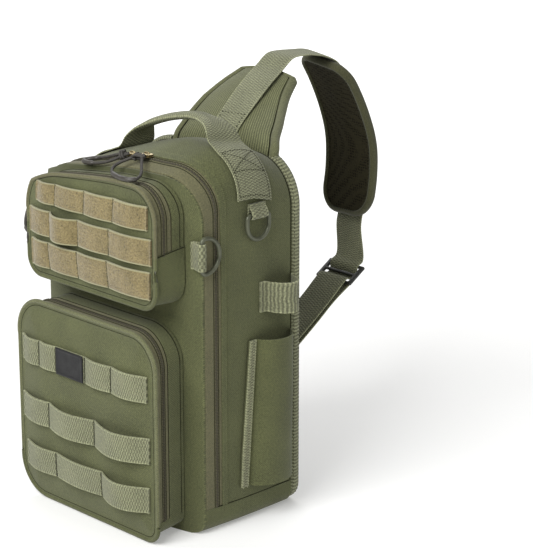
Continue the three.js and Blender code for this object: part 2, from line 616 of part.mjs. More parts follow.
function addYoke() {
  const shares = [-1, -0.75, -0.4, 0, 0.4, 0.75, 1];
  const rows = YOKE_ROWS.map((row, k) => k);
  const skin = (side) => rows.map((row) => shares.map((share) => {
    const edge = Math.abs(share) === 1 ? 0.6 : 1;
    return yokePoint(row, share, side * edge * YOKE_THICKNESS / 2);
  }));
  add('yoke', sheet(skin(1), skin(-1)), FABRIC);
  const { clear, thickness, width } = YOKE_BINDING;
  [['right', 1], ['left', -1]].forEach(([side, sign]) => {
    const sections = rows.map((row) => OVAL.map(([a, b]) => (
      yokePoint(row, sign, a * width, clear + (b + 0.5) * thickness)
    )));
    add(`yoke_binding_${side}`, loft(sections), STRAP_FABRIC);
  });
}

// Grab handle over the top of the main compartment: sewn round the shoulders, then free
function handleSewn(degrees) {
  const angle = degToRad(degrees);
  return OVAL.map(([a, b]) => {
    const y = HANDLE_FOOT.y + a * HANDLE_FOOT.width;
    const { halfWidth, top, topRadius } = bodySection(y);
    const radius = topRadius + HANDLE_SEAT + (b + 0.5) * WEBBING;
    const x = halfWidth - topRadius + radius * Math.cos(angle);
    return vector(x, y, top - topRadius + radius * Math.sin(angle));
  });
}

function addHandle() {
  const arch = HANDLE_ARCH.map(({ x, z }) => vector(x, HANDLE_Y, z));
  const right = HANDLE_SEWN_DEGREES.map(handleSewn);
  const lastSewn = right.at(-1);
  const leaving = lastSewn[0].clone().lerp(lastSewn[OVAL.length / 2], 0.5);
  const along = tangents([leaving, ...arch]).slice(1);
  const free = HANDLE_ARCH.map(({ lean, width, thickness }, k) => {
    const wide = vector(0, 1, lean).normalize();
    return oval(arch[k], wide, width, wide.clone().cross(along[k]).normalize(), thickness);
  });
  const mirrored = (section, share) => section.map(({ x, y, z }) => vector(-share * x, y, z));
  const left = [
    ...HANDLE_LEFT.sewnDegrees.map((degrees) => mirrored(handleSewn(degrees), 1)),
    ...free.slice(0, -1).map((section) => mirrored(section, HANDLE_LEFT.archShare)),
  ];
  add('grab_handle', loft([...right, ...free, ...left.reverse()]), STRAP_FABRIC);
}

// Rings and the webbing loops that hold them
const RING_STEPS = 16;
const RING_SIDES = 6;

// A ring in its own plane: its bar lies along a, and its bow hangs towards -b
function ringGeometry({ width, height }, place) {
  const half = width / 2;
  const path = new THREE.Path();
  path.moveTo(half - RING_CORNER, 0);
  path.absarc(half - RING_CORNER, -RING_CORNER, RING_CORNER, Math.PI / 2, 0, true);
  const bowCentre = half - height;
  const flat = Math.min(bowCentre, -RING_CORNER);
  path.lineTo(half, flat);
  path.absellipse(0, flat, half, height + flat, 0, Math.PI, true);
  path.lineTo(-half, -RING_CORNER);
  path.absarc(RING_CORNER - half, -RING_CORNER, RING_CORNER, Math.PI, Math.PI / 2, true);
  path.closePath();
  const points = path.getSpacedPoints(RING_STEPS).slice(0, RING_STEPS).map(({ x, y }) => vector(x, y, 0));
  const along = tangents(points, true);
  const sections = points.map((point, k) => {
    const normal = along[k].clone().cross(UP);
    return Array.from({ length: RING_SIDES }, (unused, side) => {
      const angle = 2 * Math.PI * side / RING_SIDES;
      const wire = point.clone().addScaledVector(normal, RING_WIRE * Math.cos(angle));
      return place(wire.x, wire.y, RING_WIRE * Math.sin(angle));
    });
  });
  return loft(sections, true);
}

// A webbing loop folded round a bar: its plies run along p from the bar to the seam, q away from the seat
function loopGeometry({ loopWidth, loopLength }, place) {
  const fold = RING_WIRE + RING_PLAY + WEBBING / 2;
  const second = WEBBING + 2 * GAP - fold;
  const path = [[loopLength, -fold], [loopLength / 2, -fold]];
  for (let degrees = 0; degrees <= 180; degrees += 36) {
    const angle = degToRad(degrees);
    path.push([-fold * Math.sin(angle), -fold * Math.cos(angle)]);
  }
  path.push([loopLength * 0.45, 0.45 * fold], [loopLength * 0.75, second], [loopLength, second]);
  const middle = path.map(([p, q]) => vector(p, q, 0));
  const along = tangents(middle);
  const skin = (side) => middle.map((point, k) => [-0.5, 0.5].map((share) => {
    const normal = along[k].clone().cross(UP);
    const lifted = point.clone().addScaledVector(normal, side * WEBBING / 2);
    return place(lifted.x, lifted.y, share * loopWidth);
  }));
  return sheet(skin(1), skin(-1));
}

const LOOP_STACK = SEAT + WEBBING + RING_PLAY + RING_WIRE;

function addRings() {
  [['right', 1], ['left', -1]].forEach(([side, sign]) => {
    const barX = sideWall(HANDLE_RING.y) + LOOP_STACK;
    const { y, barZ } = HANDLE_RING;
    const onWall = () => vector(sign * barX, y, barZ);
    const hangs = (a, b, n) => vector(sign * (barX + n), y + a, barZ + b);
    add(`handle_ring_${side}`, ringGeometry(HANDLE_RING, hangs), RING_METAL, onWall);
    const seated = (p, q, w) => vector(sign * (barX + q), y + w, barZ + p);
    add(`handle_loop_${side}`, loopGeometry(HANDLE_RING, seated), STRAP_FABRIC, onWall);
    const barY = FRONT - LOOP_STACK;
    const onEdge = () => vector(sign * SIDE_RING.barX, FRONT, SIDE_RING.z);
    const trails = (a, b, n) => vector(sign * (SIDE_RING.barX + n), barY - b, SIDE_RING.z + a);
    add(`side_ring_${side}`, ringGeometry(SIDE_RING, trails), RING_METAL, onEdge);
    const tabbed = (p, q, w) => vector(sign * (SIDE_RING.barX - p), barY - q, SIDE_RING.z + w);
    const alongWall = ({ x }) => vector(x, FRONT, SIDE_RING.z);
    add(`side_tab_${side}`, loopGeometry(SIDE_RING, tabbed), STRAP_FABRIC, alongWall);
  });
}

// Rod holder
function rodPoint({ front, rear, reach }, { along, out }, height, lift) {
  const y = lerp(front, rear, along);
  return vector(sideWall(y) + SEAT + reach * out + lift, y, height);
}

function addRodHolder() {
  const loopSkin = (lift) => ROD_SECTION.map((station) => (
    [ROD_LOOP.low, ROD_LOOP.high].map((z) => rodPoint(ROD_LOOP, station, z, lift))
  ));
  add('rod_loop', sheet(loopSkin(CLOTH), loopSkin(0)), STRAP_FABRIC);
  const levels = [0, 0.25, 0.5, 0.75, 1];
  const frontAt = (share) => lerp(ROD_SLEEVE.frontLow, ROD_SLEEVE.frontHigh, share);
  const heightAt = (share) => lerp(ROD_SLEEVE.low, ROD_SLEEVE.high, share);
  const sleeveSkin = (stations, lift) => stations.map((station) => levels.map((share) => (
    rodPoint({ ...ROD_SLEEVE, front: frontAt(share) }, station, heightAt(share), lift)
  )));
  add('rod_sleeve', sheet(sleeveSkin(ROD_SECTION, CLOTH), sleeveSkin(ROD_SECTION, 0)), FABRIC);
  const edge = [{ along: 0, out: 0 }, { along: SLEEVE_EDGE_SHARE, out: 0 }];
  const edgeBase = CLOTH + GAP;
  const edging = sheet(sleeveSkin(edge, edgeBase + WEBBING), sleeveSkin(edge, edgeBase));
  add('rod_sleeve_edge', edging, STRAP_FABRIC);
}

// Shoulder pad: a point is a place across, a distance from the top end, and a height over the inner face
const padCurve = throughPoints(PAD_ROUTE.map(({ x, y, z }) => vector(x, y, z)));
const padLength = padCurve.getLength();

function padFrame(distance) {
  const share = clamp(distance / padLength, 0, 1);
  const along = padCurve.getTangentAt(share);
  const wide = ACROSS.clone().addScaledVector(along, -ACROSS.dot(along)).normalize();
  wide.applyAxisAngle(along, degToRad(PAD.twistDegrees));
  const rise = wide.clone().cross(along);
  const middle = padCurve.getPointAt(share).addScaledVector(along, distance - share * padLength);
  return { middle, along, wide, rise };
}

function padPoint(across, distance, height) {
  const { middle, wide, rise } = padFrame(distance);
  return middle.addScaledVector(wide, across).addScaledVector(rise, height);
}

function addShoulderPad() {
  const end = PAD_BINDING.clear + PAD_BINDING.thickness;
  const section = {
    halfWidth: PAD.halfWidth, bottom: end, top: padLength - end, bottomRadius: 16, topRadius: 22, seam: 40,
  };
  const foam = PAD.thickness - PAD.mesh - GAP;
  const foamBase = PAD.mesh + GAP;
  const outer = (x, s, h) => padPoint(x, s, foamBase + h);
  add('shoulder_pad', panel(section, foam * 0.6, foam * 0.4, outer), FABRIC);
  const lining = (x, s, h) => padPoint(x, s, PAD.mesh - h);
  add('shoulder_pad_mesh', panel(section, PAD.mesh * 0.8, 0, lining, FLAT_SHARES), MESH_CLOTH);
  const bound = trim(section, PAD_BINDING, padPoint);
  add('shoulder_pad_binding', bound, STRAP_FABRIC);
}

// Strap webbing, its slide and its anchor
function addUpperWeb() {
  const lift = YOKE_THICKNESS / 2 + SEAT + WEBBING / 2;
  const first = Math.round(UPPER_WEB_YOKE_START * YOKE_ROWS.length);
  const webShares = YOKE_ROWS.map(({ webX, x, halfWidth }) => (webX - x) / halfWidth);
  const onYoke = webShares.map((share, k) => yokePoint(k, share, lift)).slice(first);
  const free = UPPER_WEB_RUN.map(({ y, z }) => vector(0, y, z));
  const onPad = UPPER_WEB_ON_PAD.map((s) => padPoint(0, s, WEB_SEAT_ON_PAD.upper + WEBBING / 2));
  const path = smooth([...onYoke, ...free, ...onPad], 26);
  const [turnFrom, turnTo] = UPPER_WEB_TURN;
  const across = path.map(({ y }) => {
    const turn = clamp((y - turnFrom) / (turnTo - turnFrom), 0, 1);
    return ACROSS.clone().lerp(padFrame(0).wide, turn).normalize();
  });
  add('strap_web_upper', ribbon(path, across, STRAP_WIDTH, WEBBING), STRAP_FABRIC);
}

const slidePitch = degToRad(SLIDE.pitchDegrees);
const slideAlong = vector(0, Math.cos(slidePitch), Math.sin(slidePitch));
const slideRise = vector(0, -Math.sin(slidePitch), Math.cos(slidePitch));
const anchorSeat = BACK_FACE + SEAT + ANCHOR.thickness / 2;
const anchorPath = ANCHOR_ROWS.map(({ y, z }) => vector(ANCHOR.x, anchorSeat + y, z));

function addLowerWeb() {
  const slideMiddle = vector(SLIDE.x, SLIDE.y, SLIDE.z);
  const bySlide = ({ along, lift }) => (
    slideMiddle.clone().addScaledVector(slideAlong, along).addScaledVector(slideRise, lift)
  );
  const woven = SLIDE_WEAVE.map(bySlide);
  const sewnOn = WEB_SEAT_ON_PAD.lower + WEBBING / 2;
  const underPad = [padLength - 24, padLength - 8].map((s) => padPoint(0, s, sewnOn));
  const leaving = padPoint(0, padLength + 9, PAD.thickness);
  const drop = smooth([...underPad, leaving, woven[0]], 8);
  const dropAcross = drop.map((point, k) => {
    const turn = k / (drop.length - 1);
    return padFrame(padLength).wide.lerp(ACROSS, turn).normalize();
  });
  const run = LOWER_WEB_RUN.map(({ x, y, z }) => vector(x, y, z));
  const [barLow, barHigh] = anchorPath.slice(-2);
  const bar = barLow.clone().lerp(barHigh, 0.5);
  const barAlong = barHigh.clone().sub(barLow).normalize();
  const barOut = barAlong.clone().cross(ACROSS).negate();
  const turn = ANCHOR_TURN.map(({ along, out }) => (
    bar.clone().addScaledVector(barAlong, along).addScaledVector(barOut, out)
  ));
  const { y: backOff, z: dropOff } = LOWER_WEB_PLY_DROP;
  const second = [...run].reverse().map((point) => point.clone().add(vector(0, backOff, dropOff)));
  const path = [...drop, ...woven.slice(1), ...run, ...turn, ...second, bySlide(LOWER_WEB_END)];
  const across = path.map((point, k) => dropAcross[k] ?? ACROSS);
  add('strap_web_lower', ribbon(path, across, STRAP_WIDTH, WEBBING), STRAP_FABRIC);
}

// A plate along a path with a slot for the webbing in some of its rows
function slottedPlate(path, { width, slot, thickness }, slotRows) {
  const slotColumn = 1;
  const edge = slot / width / 2;
  const filled = (row, column) => column !== slotColumn || !slotRows.includes(row);
  return ribbon(path, ACROSS, width, thickness, [-0.5, -edge, edge, 0.5], filled);
}

function addSlide() {
  const half = SLIDE.length / 2;
  const bars = [-half, SLIDE.bar - half, -SLIDE.bar / 2, SLIDE.bar / 2, half - SLIDE.bar, half];
  const path = bars.map((along) => vector(SLIDE.x, SLIDE.y, SLIDE.z).addScaledVector(slideAlong, along));
  add('triglide', slottedPlate(path, SLIDE, [1, 3]), MOULDED);
}

function addAnchor() {
  add('strap_anchor', slottedPlate(anchorPath, ANCHOR, [2]), MOULDED);
}

// Zipper sliders and their cord pulls
function sliderGeometry() {
  const { length, width, nose, height } = SLIDER;
  const shape = new THREE.Shape();
  shape.moveTo(-length / 2, -width / 2);
  shape.lineTo(length / 6, -width / 2);
  shape.lineTo(length / 2, -nose / 2);
  shape.lineTo(length / 2, nose / 2);
  shape.lineTo(length / 6, width / 2);
  shape.lineTo(-length / 2, width / 2);
  shape.closePath();
  return new THREE.ExtrudeGeometry(shape, { depth: height, bevelEnabled: false });
}

function cordGeometry(points) {
  const ring = new THREE.Shape();
  ring.absarc(0, 0, CORD_DIAMETER / 2, 0, 2 * Math.PI);
  const along = { steps: CORD_STEPS, curveSegments: CORD_SIDES / 2, extrudePath: throughPoints(points) };
  const round = new THREE.ExtrudeGeometry(ring, along);
  round.deleteAttribute('normal');
  round.deleteAttribute('uv');
  return mergeVertices(round);
}

function addMainPulls() {
  const top = bodySection(BODY.coil).top + COIL.lift + GAP;
  const onFloor = () => vector(0, 0, 0);
  [['right', Math.PI, MAIN_PULL_RIGHT], ['left', 0, MAIN_PULL_LEFT]].forEach(([side, turn, route]) => {
    const seat = vector(MAIN_SLIDERS[side], BODY.coil, top);
    const slider = sliderGeometry().rotateZ(turn).translate(seat.x, seat.y, seat.z);
    add(`main_slider_${side}`, slider, SLIDER_METAL);
    add(`main_pull_${side}`, cordGeometry(route.map(({ x, y, z }) => vector(x, y, z))), CORD, onFloor);
  });
}

function addSidePulls(name, pocket) {
  const wall = -(pocketSection(pocket, pocket.coil).halfWidth + COIL.lift + GAP);
  [['low', 0], ['high', 1]].forEach(([place, order]) => {
    const seat = vector(wall, pocket.coil, PULLS[name] + order * SIDE_SLIDER_STEP);
    const slider = sliderGeometry().rotateY(-Math.PI / 2).translate(seat.x, seat.y, seat.z);
    add(`${name}_slider_${place}`, slider, SLIDER_METAL, () => seat);
    const route = HANGING_PULL.map(({ along, out, over, down }) => (
      vector(wall - lerp(out, over, order), seat.y + along, seat.z - down)
    ));
    add(`${name}_pull_${place}`, cordGeometry(route), CORD, () => seat);
  });
}

addMainCompartment();
addPocket('upper_pocket', UPPER);
addPocket('lower_pocket', LOWER);
LOOP_ROWS.forEach((row) => add(row.name, cellRow(UPPER, row), LOOP_PILE));
WEBBING_ROWS.forEach((row) => add(row.name, cellRow(LOWER, row), STRAP_FABRIC));
addLabel();
addBack();
addYoke();
addHandle();
addRings();
addRodHolder();
addShoulderPad();
addUpperWeb();
addLowerWeb();
addSlide();
addAnchor();
addMainPulls();
addSidePulls('upper', UPPER);
addSidePulls('lower', LOWER);

export default bag;
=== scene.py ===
# %% [markdown]
# A fishing sling backpack, dressed in cloth, webbing and trim.
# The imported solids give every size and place. This lesson lays finer cloth over them, piece by piece.
# All tables below are in millimetres, as a pattern cutter would write them; lights and camera are in metres.

# %% Load the frame
import math

import bpy
import numpy as np
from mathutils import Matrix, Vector, noise


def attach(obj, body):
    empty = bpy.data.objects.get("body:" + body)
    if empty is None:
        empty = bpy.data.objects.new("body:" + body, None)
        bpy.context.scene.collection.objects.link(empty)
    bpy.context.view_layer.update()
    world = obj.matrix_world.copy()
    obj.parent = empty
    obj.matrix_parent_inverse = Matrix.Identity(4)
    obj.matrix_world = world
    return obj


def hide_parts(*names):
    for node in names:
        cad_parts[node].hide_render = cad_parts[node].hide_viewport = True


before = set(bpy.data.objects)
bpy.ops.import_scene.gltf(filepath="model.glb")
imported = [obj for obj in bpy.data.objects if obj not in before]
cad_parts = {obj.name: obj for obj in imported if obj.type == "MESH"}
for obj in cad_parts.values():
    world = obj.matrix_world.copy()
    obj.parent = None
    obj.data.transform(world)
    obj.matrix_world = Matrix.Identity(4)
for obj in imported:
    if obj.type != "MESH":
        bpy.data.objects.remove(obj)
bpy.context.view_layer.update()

MM = 0.001
SCENE = bpy.context.scene

# %% [markdown]
# Camera and light. A long lens far away keeps the bag's edges almost parallel, as in a shop picture.
# A pale floor, a wide soft key from the front and weak fills give gentle shade without hard edges.

# %% Camera
CAMERA = {"azimuth": 45.84, "elevation": 16.71, "eye": (1.5018, -1.3184, 0.8255), "lens": 139.8, "sensor": 36}


def add(name, data):
    """A new object in the scene."""
    made = bpy.data.objects.new(name, data)
    SCENE.collection.objects.link(made)
    return made


turn, rise = math.radians(CAMERA["azimuth"]), math.radians(CAMERA["elevation"])
back = Vector((math.sin(turn) * math.cos(rise), -math.cos(turn) * math.cos(rise), math.sin(rise)))
camera = add("camera", bpy.data.cameras.new("camera"))
camera.data.lens = CAMERA["lens"]
camera.data.sensor_width = CAMERA["sensor"]
camera.location = CAMERA["eye"]
camera.rotation_mode = "QUATERNION"
camera.rotation_quaternion = (-back).to_track_quat("-Z", "Y")
SCENE.camera = camera
print("camera", [round(v, 3) for v in camera.location])

# %% Floor and lights
FLOOR_HALF = 6.0
WHITE = (1, 1, 1, 1)
PAPER = {"Base Color": (0.80, 0.80, 0.79, 1), "Roughness": 0.9, "Emission Color": WHITE,
         "Emission Strength": 0.22}
SKY = {"Color": WHITE, "Strength": 0.37}
LIGHTS = {
    "key": {"at": (0.3, -1.85, 1.85), "to": (0, 0, 0.2), "size": 1.7, "watts": 68},
    "side": {"at": (2.2, -0.2, 1.3), "to": (0, 0, 0.2), "size": 1.5, "watts": 6},
    "top": {"at": (0.2, 0.6, 2.4), "to": (0, 0, 0.2), "size": 1.8, "watts": 1.0},
    "backdrop": {"at": (-2.4, 2.3, 2.2), "to": (-2.6, 2.5, 0), "size": 3.0, "watts": 105},
}


def set_inputs(shader, values):
    for key, value in values.items():
        shader.inputs[key].default_value = value


floor_mesh = bpy.data.meshes.new("floor")
corners = [(x * FLOOR_HALF, y * FLOOR_HALF, 0) for x, y in ((-1, -1), (1, -1), (1, 1), (-1, 1))]
floor_mesh.from_pydata(corners, [], [(0, 1, 2, 3)])
floor = add("floor", floor_mesh)
paper = bpy.data.materials.new("pale_paper")
paper.use_nodes = True
set_inputs(paper.node_tree.nodes["Principled BSDF"], PAPER)
floor_mesh.materials.append(paper)
sky = bpy.data.worlds.new("studio")
sky.use_nodes = True
set_inputs(sky.node_tree.nodes["Background"], SKY)
SCENE.world = sky
for name, light in LIGHTS.items():
    lamp = add(name, bpy.data.lights.new(name, "AREA"))
    lamp.data.size = light["size"]
    lamp.data.energy = light["watts"]
    lamp.location = light["at"]
    lamp.rotation_euler = (Vector(light["to"]) - lamp.location).to_track_quat("-Z", "Y").to_euler()
print("lights", list(LIGHTS))

# %% [markdown]
# Curves and soft shape. The same rounded outlines and smooth curves drive every piece.
# The bag is soft: its front curves back to the sides and its upper left slumps, so each point settles.

# %% Sizes of the bag
CLOTH, WEBBING, STRAP_WIDTH, GAP, SEAT = 2.0, 1.8, 38.0, 0.3, 0.5
BODY = {"half": 113, "depth": 128, "top": 349, "front_radius": 42, "rear_radius": 46, "base_radius": 14,
        "seam": 25, "top_swell": 20, "side_swell": 1.5, "zip_from": -61.4, "coil": -48, "zip_to": -36}
FRONT, BACK = -64.0, 64.0
SIDES = (("right", 1), ("left", -1))
BEND = {"from_x": 40, "to_x": 113, "back": 12, "pocket_y": -80, "full_y": -36, "end_y": -6}
SLUMP = {"from_x": 45, "slope": 0.36, "ease": 40, "full_height": 345}
# Each row of the slump: a depth, the share of the full slump there, and the height where it starts.
SLUMP_ROWS = np.array([
    (-64, 0.42, 322), (-48, 0.65, 200), (-20, 1, 200), (15, 1, 200), (64, 0.35, 200), (110, 0, 200),
])


def settle(points):
    """How far points of the soft bag move back and down."""
    points = np.asarray(points, float)
    x, y, z = points[..., 0], points[..., 1], points[..., 2]
    depth, share, low = SLUMP_ROWS.T
    beside = np.clip((np.abs(x) - BEND["from_x"]) / (BEND["to_x"] - BEND["from_x"]), 0, 1) ** 2
    ahead = np.clip((y - BEND["pocket_y"]) / (FRONT - BEND["pocket_y"]), 0, 1)
    behind = np.clip((BEND["end_y"] - y) / (BEND["end_y"] - BEND["full_y"]), 0, 1)
    start = np.interp(y, depth, low)
    height = np.clip((z - start) / (SLUMP["full_height"] - start), 0, 1)
    left = np.maximum(0, SLUMP["from_x"] - x)
    drop = SLUMP["slope"] * left * left / (left + SLUMP["ease"]) * np.interp(y, depth, share) * height
    shift = np.zeros_like(points)
    shift[..., 1] = BEND["back"] * beside * ahead * behind
    shift[..., 2] = -drop
    return shift


def settled(points):
    return points + settle(points)


print("upper left settles by", settle([(-110, 0, 345)])[0].round(1))


# %% Outlines and curves
STEPS = {"bottom": 18, "corner": 14, "seam": 3, "side": 56, "shoulder": 18, "top": 26}
SEAM_POINT = STEPS["bottom"] + STEPS["corner"] + STEPS["seam"]
HALF_POINTS = SEAM_POINT + STEPS["side"] + STEPS["shoulder"] + STEPS["top"]
AROUND = 2 * HALF_POINTS
ARCH_END = AROUND - SEAM_POINT
CURVE_STEPS = 24


def half_outline(section, low_radius, top_radius, seam):
    """Points from the middle of the bottom edge round one side to the middle of the top."""
    low = (section["half"] - low_radius, section["low"] + low_radius)
    high = (section["half"] - top_radius, section["high"] - top_radius)
    share = lambda key: np.arange(STEPS[key]) / STEPS[key]
    level = lambda key, value: np.full(STEPS[key], value)
    down = np.radians(-90 + 90 * share("corner"))
    up = np.radians(90 * share("shoulder"))
    parts = [
        (low[0] * share("bottom"), level("bottom", section["low"])),
        (low[0] + low_radius * np.cos(down), low[1] + low_radius * np.sin(down)),
        (level("seam", section["half"]), low[1] + (seam - low[1]) * share("seam")),
        (level("side", section["half"]), seam + (high[1] - seam) * share("side")),
        (high[0] + top_radius * np.cos(up), high[1] + top_radius * np.sin(up)),
        (high[0] * (1 - share("top")), level("top", section["high"])),
        ([0.0], [section["high"]]),
    ]
    return np.column_stack([np.concatenate(axis) for axis in zip(*parts)])


def outline(section):
    """A closed rounded outline in x and z, from the middle of the bottom towards +X."""
    low_radius, top_radius, seam = section["low_radius"], section["top_radius"], section["seam"]
    right_radius, right_seam = section.get("right_radius", low_radius), section.get("right_seam", seam)
    right = half_outline(section, right_radius, top_radius, right_seam)
    left = half_outline(section, low_radius, section.get("left_top_radius", top_radius), seam)
    return np.concatenate([right, left[1:-1][::-1] * (-1, 1)])


def outwards(points):
    """The way out of a closed outline at each of its points."""
    along = np.roll(points, -1, 0) - np.roll(points, 1, 0)
    return unit(np.column_stack([along[:, 1], -along[:, 0]]))


def at_depth(flat, y):
    """Points in x and z, placed at a depth."""
    return np.column_stack([flat[:, 0], np.broadcast_to(y, len(flat)), flat[:, 1]])


def mix(a, b, share):
    return {key: a[key] + (b[key] - a[key]) * share for key in a}


def curve(points, count):
    """Evenly spaced points on a smooth curve through the given ones (centripetal)."""
    p = np.asarray(points, float)
    p = np.vstack([2 * p[0] - p[1], p, 2 * p[-1] - p[-2]])
    fine = []
    for a, b, c, d in zip(p, p[1:], p[2:], p[3:]):
        k = [0, *np.cumsum([np.linalg.norm(v) ** 0.5 for v in (b - a, c - b, d - c)])]
        t = np.linspace(k[1], k[2], CURVE_STEPS, endpoint=False)[:, None]
        ab = a + (b - a) * (t - k[0]) / (k[1] - k[0])
        bc = b + (c - b) * (t - k[1]) / (k[2] - k[1])
        cd = c + (d - c) * (t - k[2]) / (k[3] - k[2])
        abc = ab + (bc - ab) * (t - k[0]) / (k[2] - k[0])
        bcd = bc + (cd - bc) * (t - k[1]) / (k[3] - k[1])
        fine.append(abc + (bcd - abc) * (t - k[1]) / (k[2] - k[1]))
    return spaced(np.vstack([*fine, p[-2][None]]), count)


def distances(path):
    """How far along a path each of its points lies."""
    return np.concatenate([[0], np.cumsum(np.linalg.norm(np.diff(path, axis=0), axis=1))])


def spaced(path, count):
    far = distances(path)
    at = np.linspace(0, far[-1], count)
    return np.column_stack([np.interp(at, far, path[:, k]) for k in range(path.shape[1])])


def length_of(path):
    return float(distances(path)[-1])


def unit(vectors):
    return vectors / np.linalg.norm(vectors, axis=-1, keepdims=True)


print("outline points", AROUND)

# %% [markdown]
# Mesh helpers. Cloth is a grid of points with a thickness, so one function closes any grid into a sheet.
# Each sheet carries a map in millimetres, so a weave keeps its real size, and its distance from the edge.

# %% Noise and new objects
SHARP_ANGLE, PAD_SHARP_ANGLE = math.radians(48), math.radians(60)
FAR_FROM_EDGE = 5.0
SEED_STEP = 17.3


def noise_at(points, size, seed):
    """Smooth noise at points, from about -1 to 1, with waves of a given size."""
    flat = np.asarray(points, float).reshape(-1, 3) / size + seed * SEED_STEP
    return np.array([noise.noise(Vector(p)) for p in flat]).reshape(np.shape(points)[:-1])


def grid_normals(grid, wrap=False):
    down = (np.roll(grid, -1, 0) - np.roll(grid, 1, 0)) if wrap else np.gradient(grid, axis=0)
    return unit(np.cross(down, np.gradient(grid, axis=1)) + 1e-12)


def new_object(name, points, faces, maps=None, edge=None):
    """A mesh object from points in millimetres, with its map and its distance from the edge."""
    mesh = bpy.data.meshes.new(name)
    mesh.from_pydata((np.asarray(points).reshape(-1, 3) * MM).tolist(), [], faces)
    if maps is not None:
        corners = np.zeros(len(mesh.loops), int)
        mesh.loops.foreach_get("vertex_index", corners)
        mesh.uv_layers.new(name="cloth").data.foreach_set("uv", maps[corners].ravel())
    if edge is not None:
        mesh.attributes.new("edge_mm", "FLOAT", "POINT").data.foreach_set("value", edge)
    mesh.shade_smooth()
    mesh.set_sharp_from_angle(angle=SHARP_ANGLE)
    return add(name, mesh)


def points_of(made):
    flat = np.zeros(len(made.data.vertices) * 3)
    made.data.vertices.foreach_get("co", flat)
    return flat.reshape(-1, 3)


def turn_out(made):
    """Turns the faces outwards if the volume comes out negative."""
    made.data.calc_loop_triangles()
    points = points_of(made)
    corners = np.array([t.vertices[:] for t in made.data.loop_triangles])
    a, b, c = (points[corners[:, k]] for k in range(3))
    if np.einsum("ij,ij->i", a, np.cross(b, c)).sum() < 0:
        made.data.flip_normals()
    return made


# %% Sheets, tubes and beads
def map_of(along, across):
    return np.stack(np.meshgrid(along, across, indexing="ij"), -1).reshape(-1, 2)


def sheet(name, outer, inner, wrap=False):
    """A closed sheet between two grids of points; wrap joins the last row to the first."""
    rows, columns = outer.shape[:2]
    total = rows * columns
    at = np.arange(total).reshape(rows, columns)
    near = at if wrap else at[:-1]
    far = np.roll(at, -1, 0) if wrap else at[1:]
    quads = np.stack([near[:, :-1], far[:, :-1], far[:, 1:], near[:, 1:]], -1).reshape(-1, 4)
    rims = [(near[:, 0], far[:, 0]), (far[:, -1], near[:, -1])]
    if not wrap:
        rims += [(at[0, 1:], at[0, :-1]), (at[-1, :-1], at[-1, 1:])]
    faces = [quads, quads[:, ::-1] + total]
    faces += [np.stack([b, a, a + total, b + total], -1) for a, b in rims]
    steps = [np.linalg.norm(np.diff(outer, axis=k), axis=2).mean(1 - k) for k in (0, 1)]
    along, across = (np.concatenate([[0], np.cumsum(step)]) for step in steps)
    edge = np.tile(np.minimum(across, across[-1] - across), rows)
    both = np.concatenate([outer.reshape(-1, 3), inner.reshape(-1, 3)])
    maps = np.tile(map_of(along, across), (2, 1))
    return turn_out(new_object(name, both, np.concatenate(faces).tolist(), maps, np.tile(edge, 2)))


def soft_sheet(name, outer, inner, wrap=False):
    return sheet(name, settled(outer), settled(inner), wrap)


def ring_faces(count, sides, wrap=False):
    """Faces between rings of points, with a cap at each end unless the last ring joins the first."""
    at = np.arange(count * sides).reshape(count, sides)
    near, far = (at, np.roll(at, -1, 0)) if wrap else (at[:-1], at[1:])
    quads = np.stack([near, far, np.roll(far, -1, 1), np.roll(near, -1, 1)], -1).reshape(-1, 4).tolist()
    return quads if wrap else quads + [at[0].tolist(), at[-1][::-1].tolist()]


def tube(name, path, radius, sides=10, wrap=False, flat=1.0, across=None):
    """A round or flattened tube along a path, closed at its ends; across gives its wide way."""
    along = unit(np.roll(path, -1, 0) - np.roll(path, 1, 0) if wrap else np.gradient(path, axis=0))
    if across is None:
        wide = unit(np.cross(along, (0.0, 0.0, 1.0)) + 1e-9)
    else:
        wide = unit(across - along * (along * across).sum(-1, keepdims=True))
    high = np.cross(wide, along) * flat
    angle = 2 * np.pi * np.arange(sides) / sides
    rim = wide[:, None] * np.cos(angle)[:, None] + high[:, None] * np.sin(angle)[:, None]
    rings = path[:, None] + rim * np.reshape(radius, (-1, 1, 1))
    maps = map_of(distances(path), np.max(radius) * angle)
    edge = np.full(len(path) * sides, FAR_FROM_EDGE)
    return turn_out(new_object(name, rings, ring_faces(len(path), sides, wrap), maps, edge))


# One bead: each point gives shares of the half length, half width and height.
BEAD_SIDE = [(0.55, 1, 0.2), (0.55, 0.35, 1), (0.55, -0.35, 1), (0.55, -1, 0.2)]
BEAD = [(-1, 0, 0), *[(-a, s, h) for a, s, h in BEAD_SIDE], *BEAD_SIDE, (1, 0, 0)]
BEAD_FACES = [(0, 2, 1), (0, 3, 2), (0, 4, 3), (0, 1, 4), (1, 2, 6, 5), (2, 3, 7, 6), (3, 4, 8, 7),
              (4, 1, 5, 8), (5, 6, 9), (6, 7, 9), (7, 8, 9), (8, 5, 9)]


def beads(name, centres, along, up, half_length, half_width, height):
    """Many small pointed beads, as stitches or zipper teeth, in one mesh."""
    side = unit(np.cross(up, along))
    shape = [along * a * half_length + side * s * half_width + up * h * height for a, s, h in BEAD]
    points = np.stack([centres + offset for offset in shape], 1)
    faces = [tuple(v + k * len(BEAD) for v in face) for k in range(len(centres)) for face in BEAD_FACES]
    count = len(centres) * len(BEAD)
    return new_object(name, points, faces, np.zeros((count, 2)), np.full(count, FAR_FROM_EDGE))


print("helpers ready")

# %% [markdown]
# Finishes. Each effect that several materials share is a node group with named sockets: a weave,
# a ribbed webbing, and a wash of wear and dust. A group only gives colours, roughness and heights;
# the shader stays in the material.

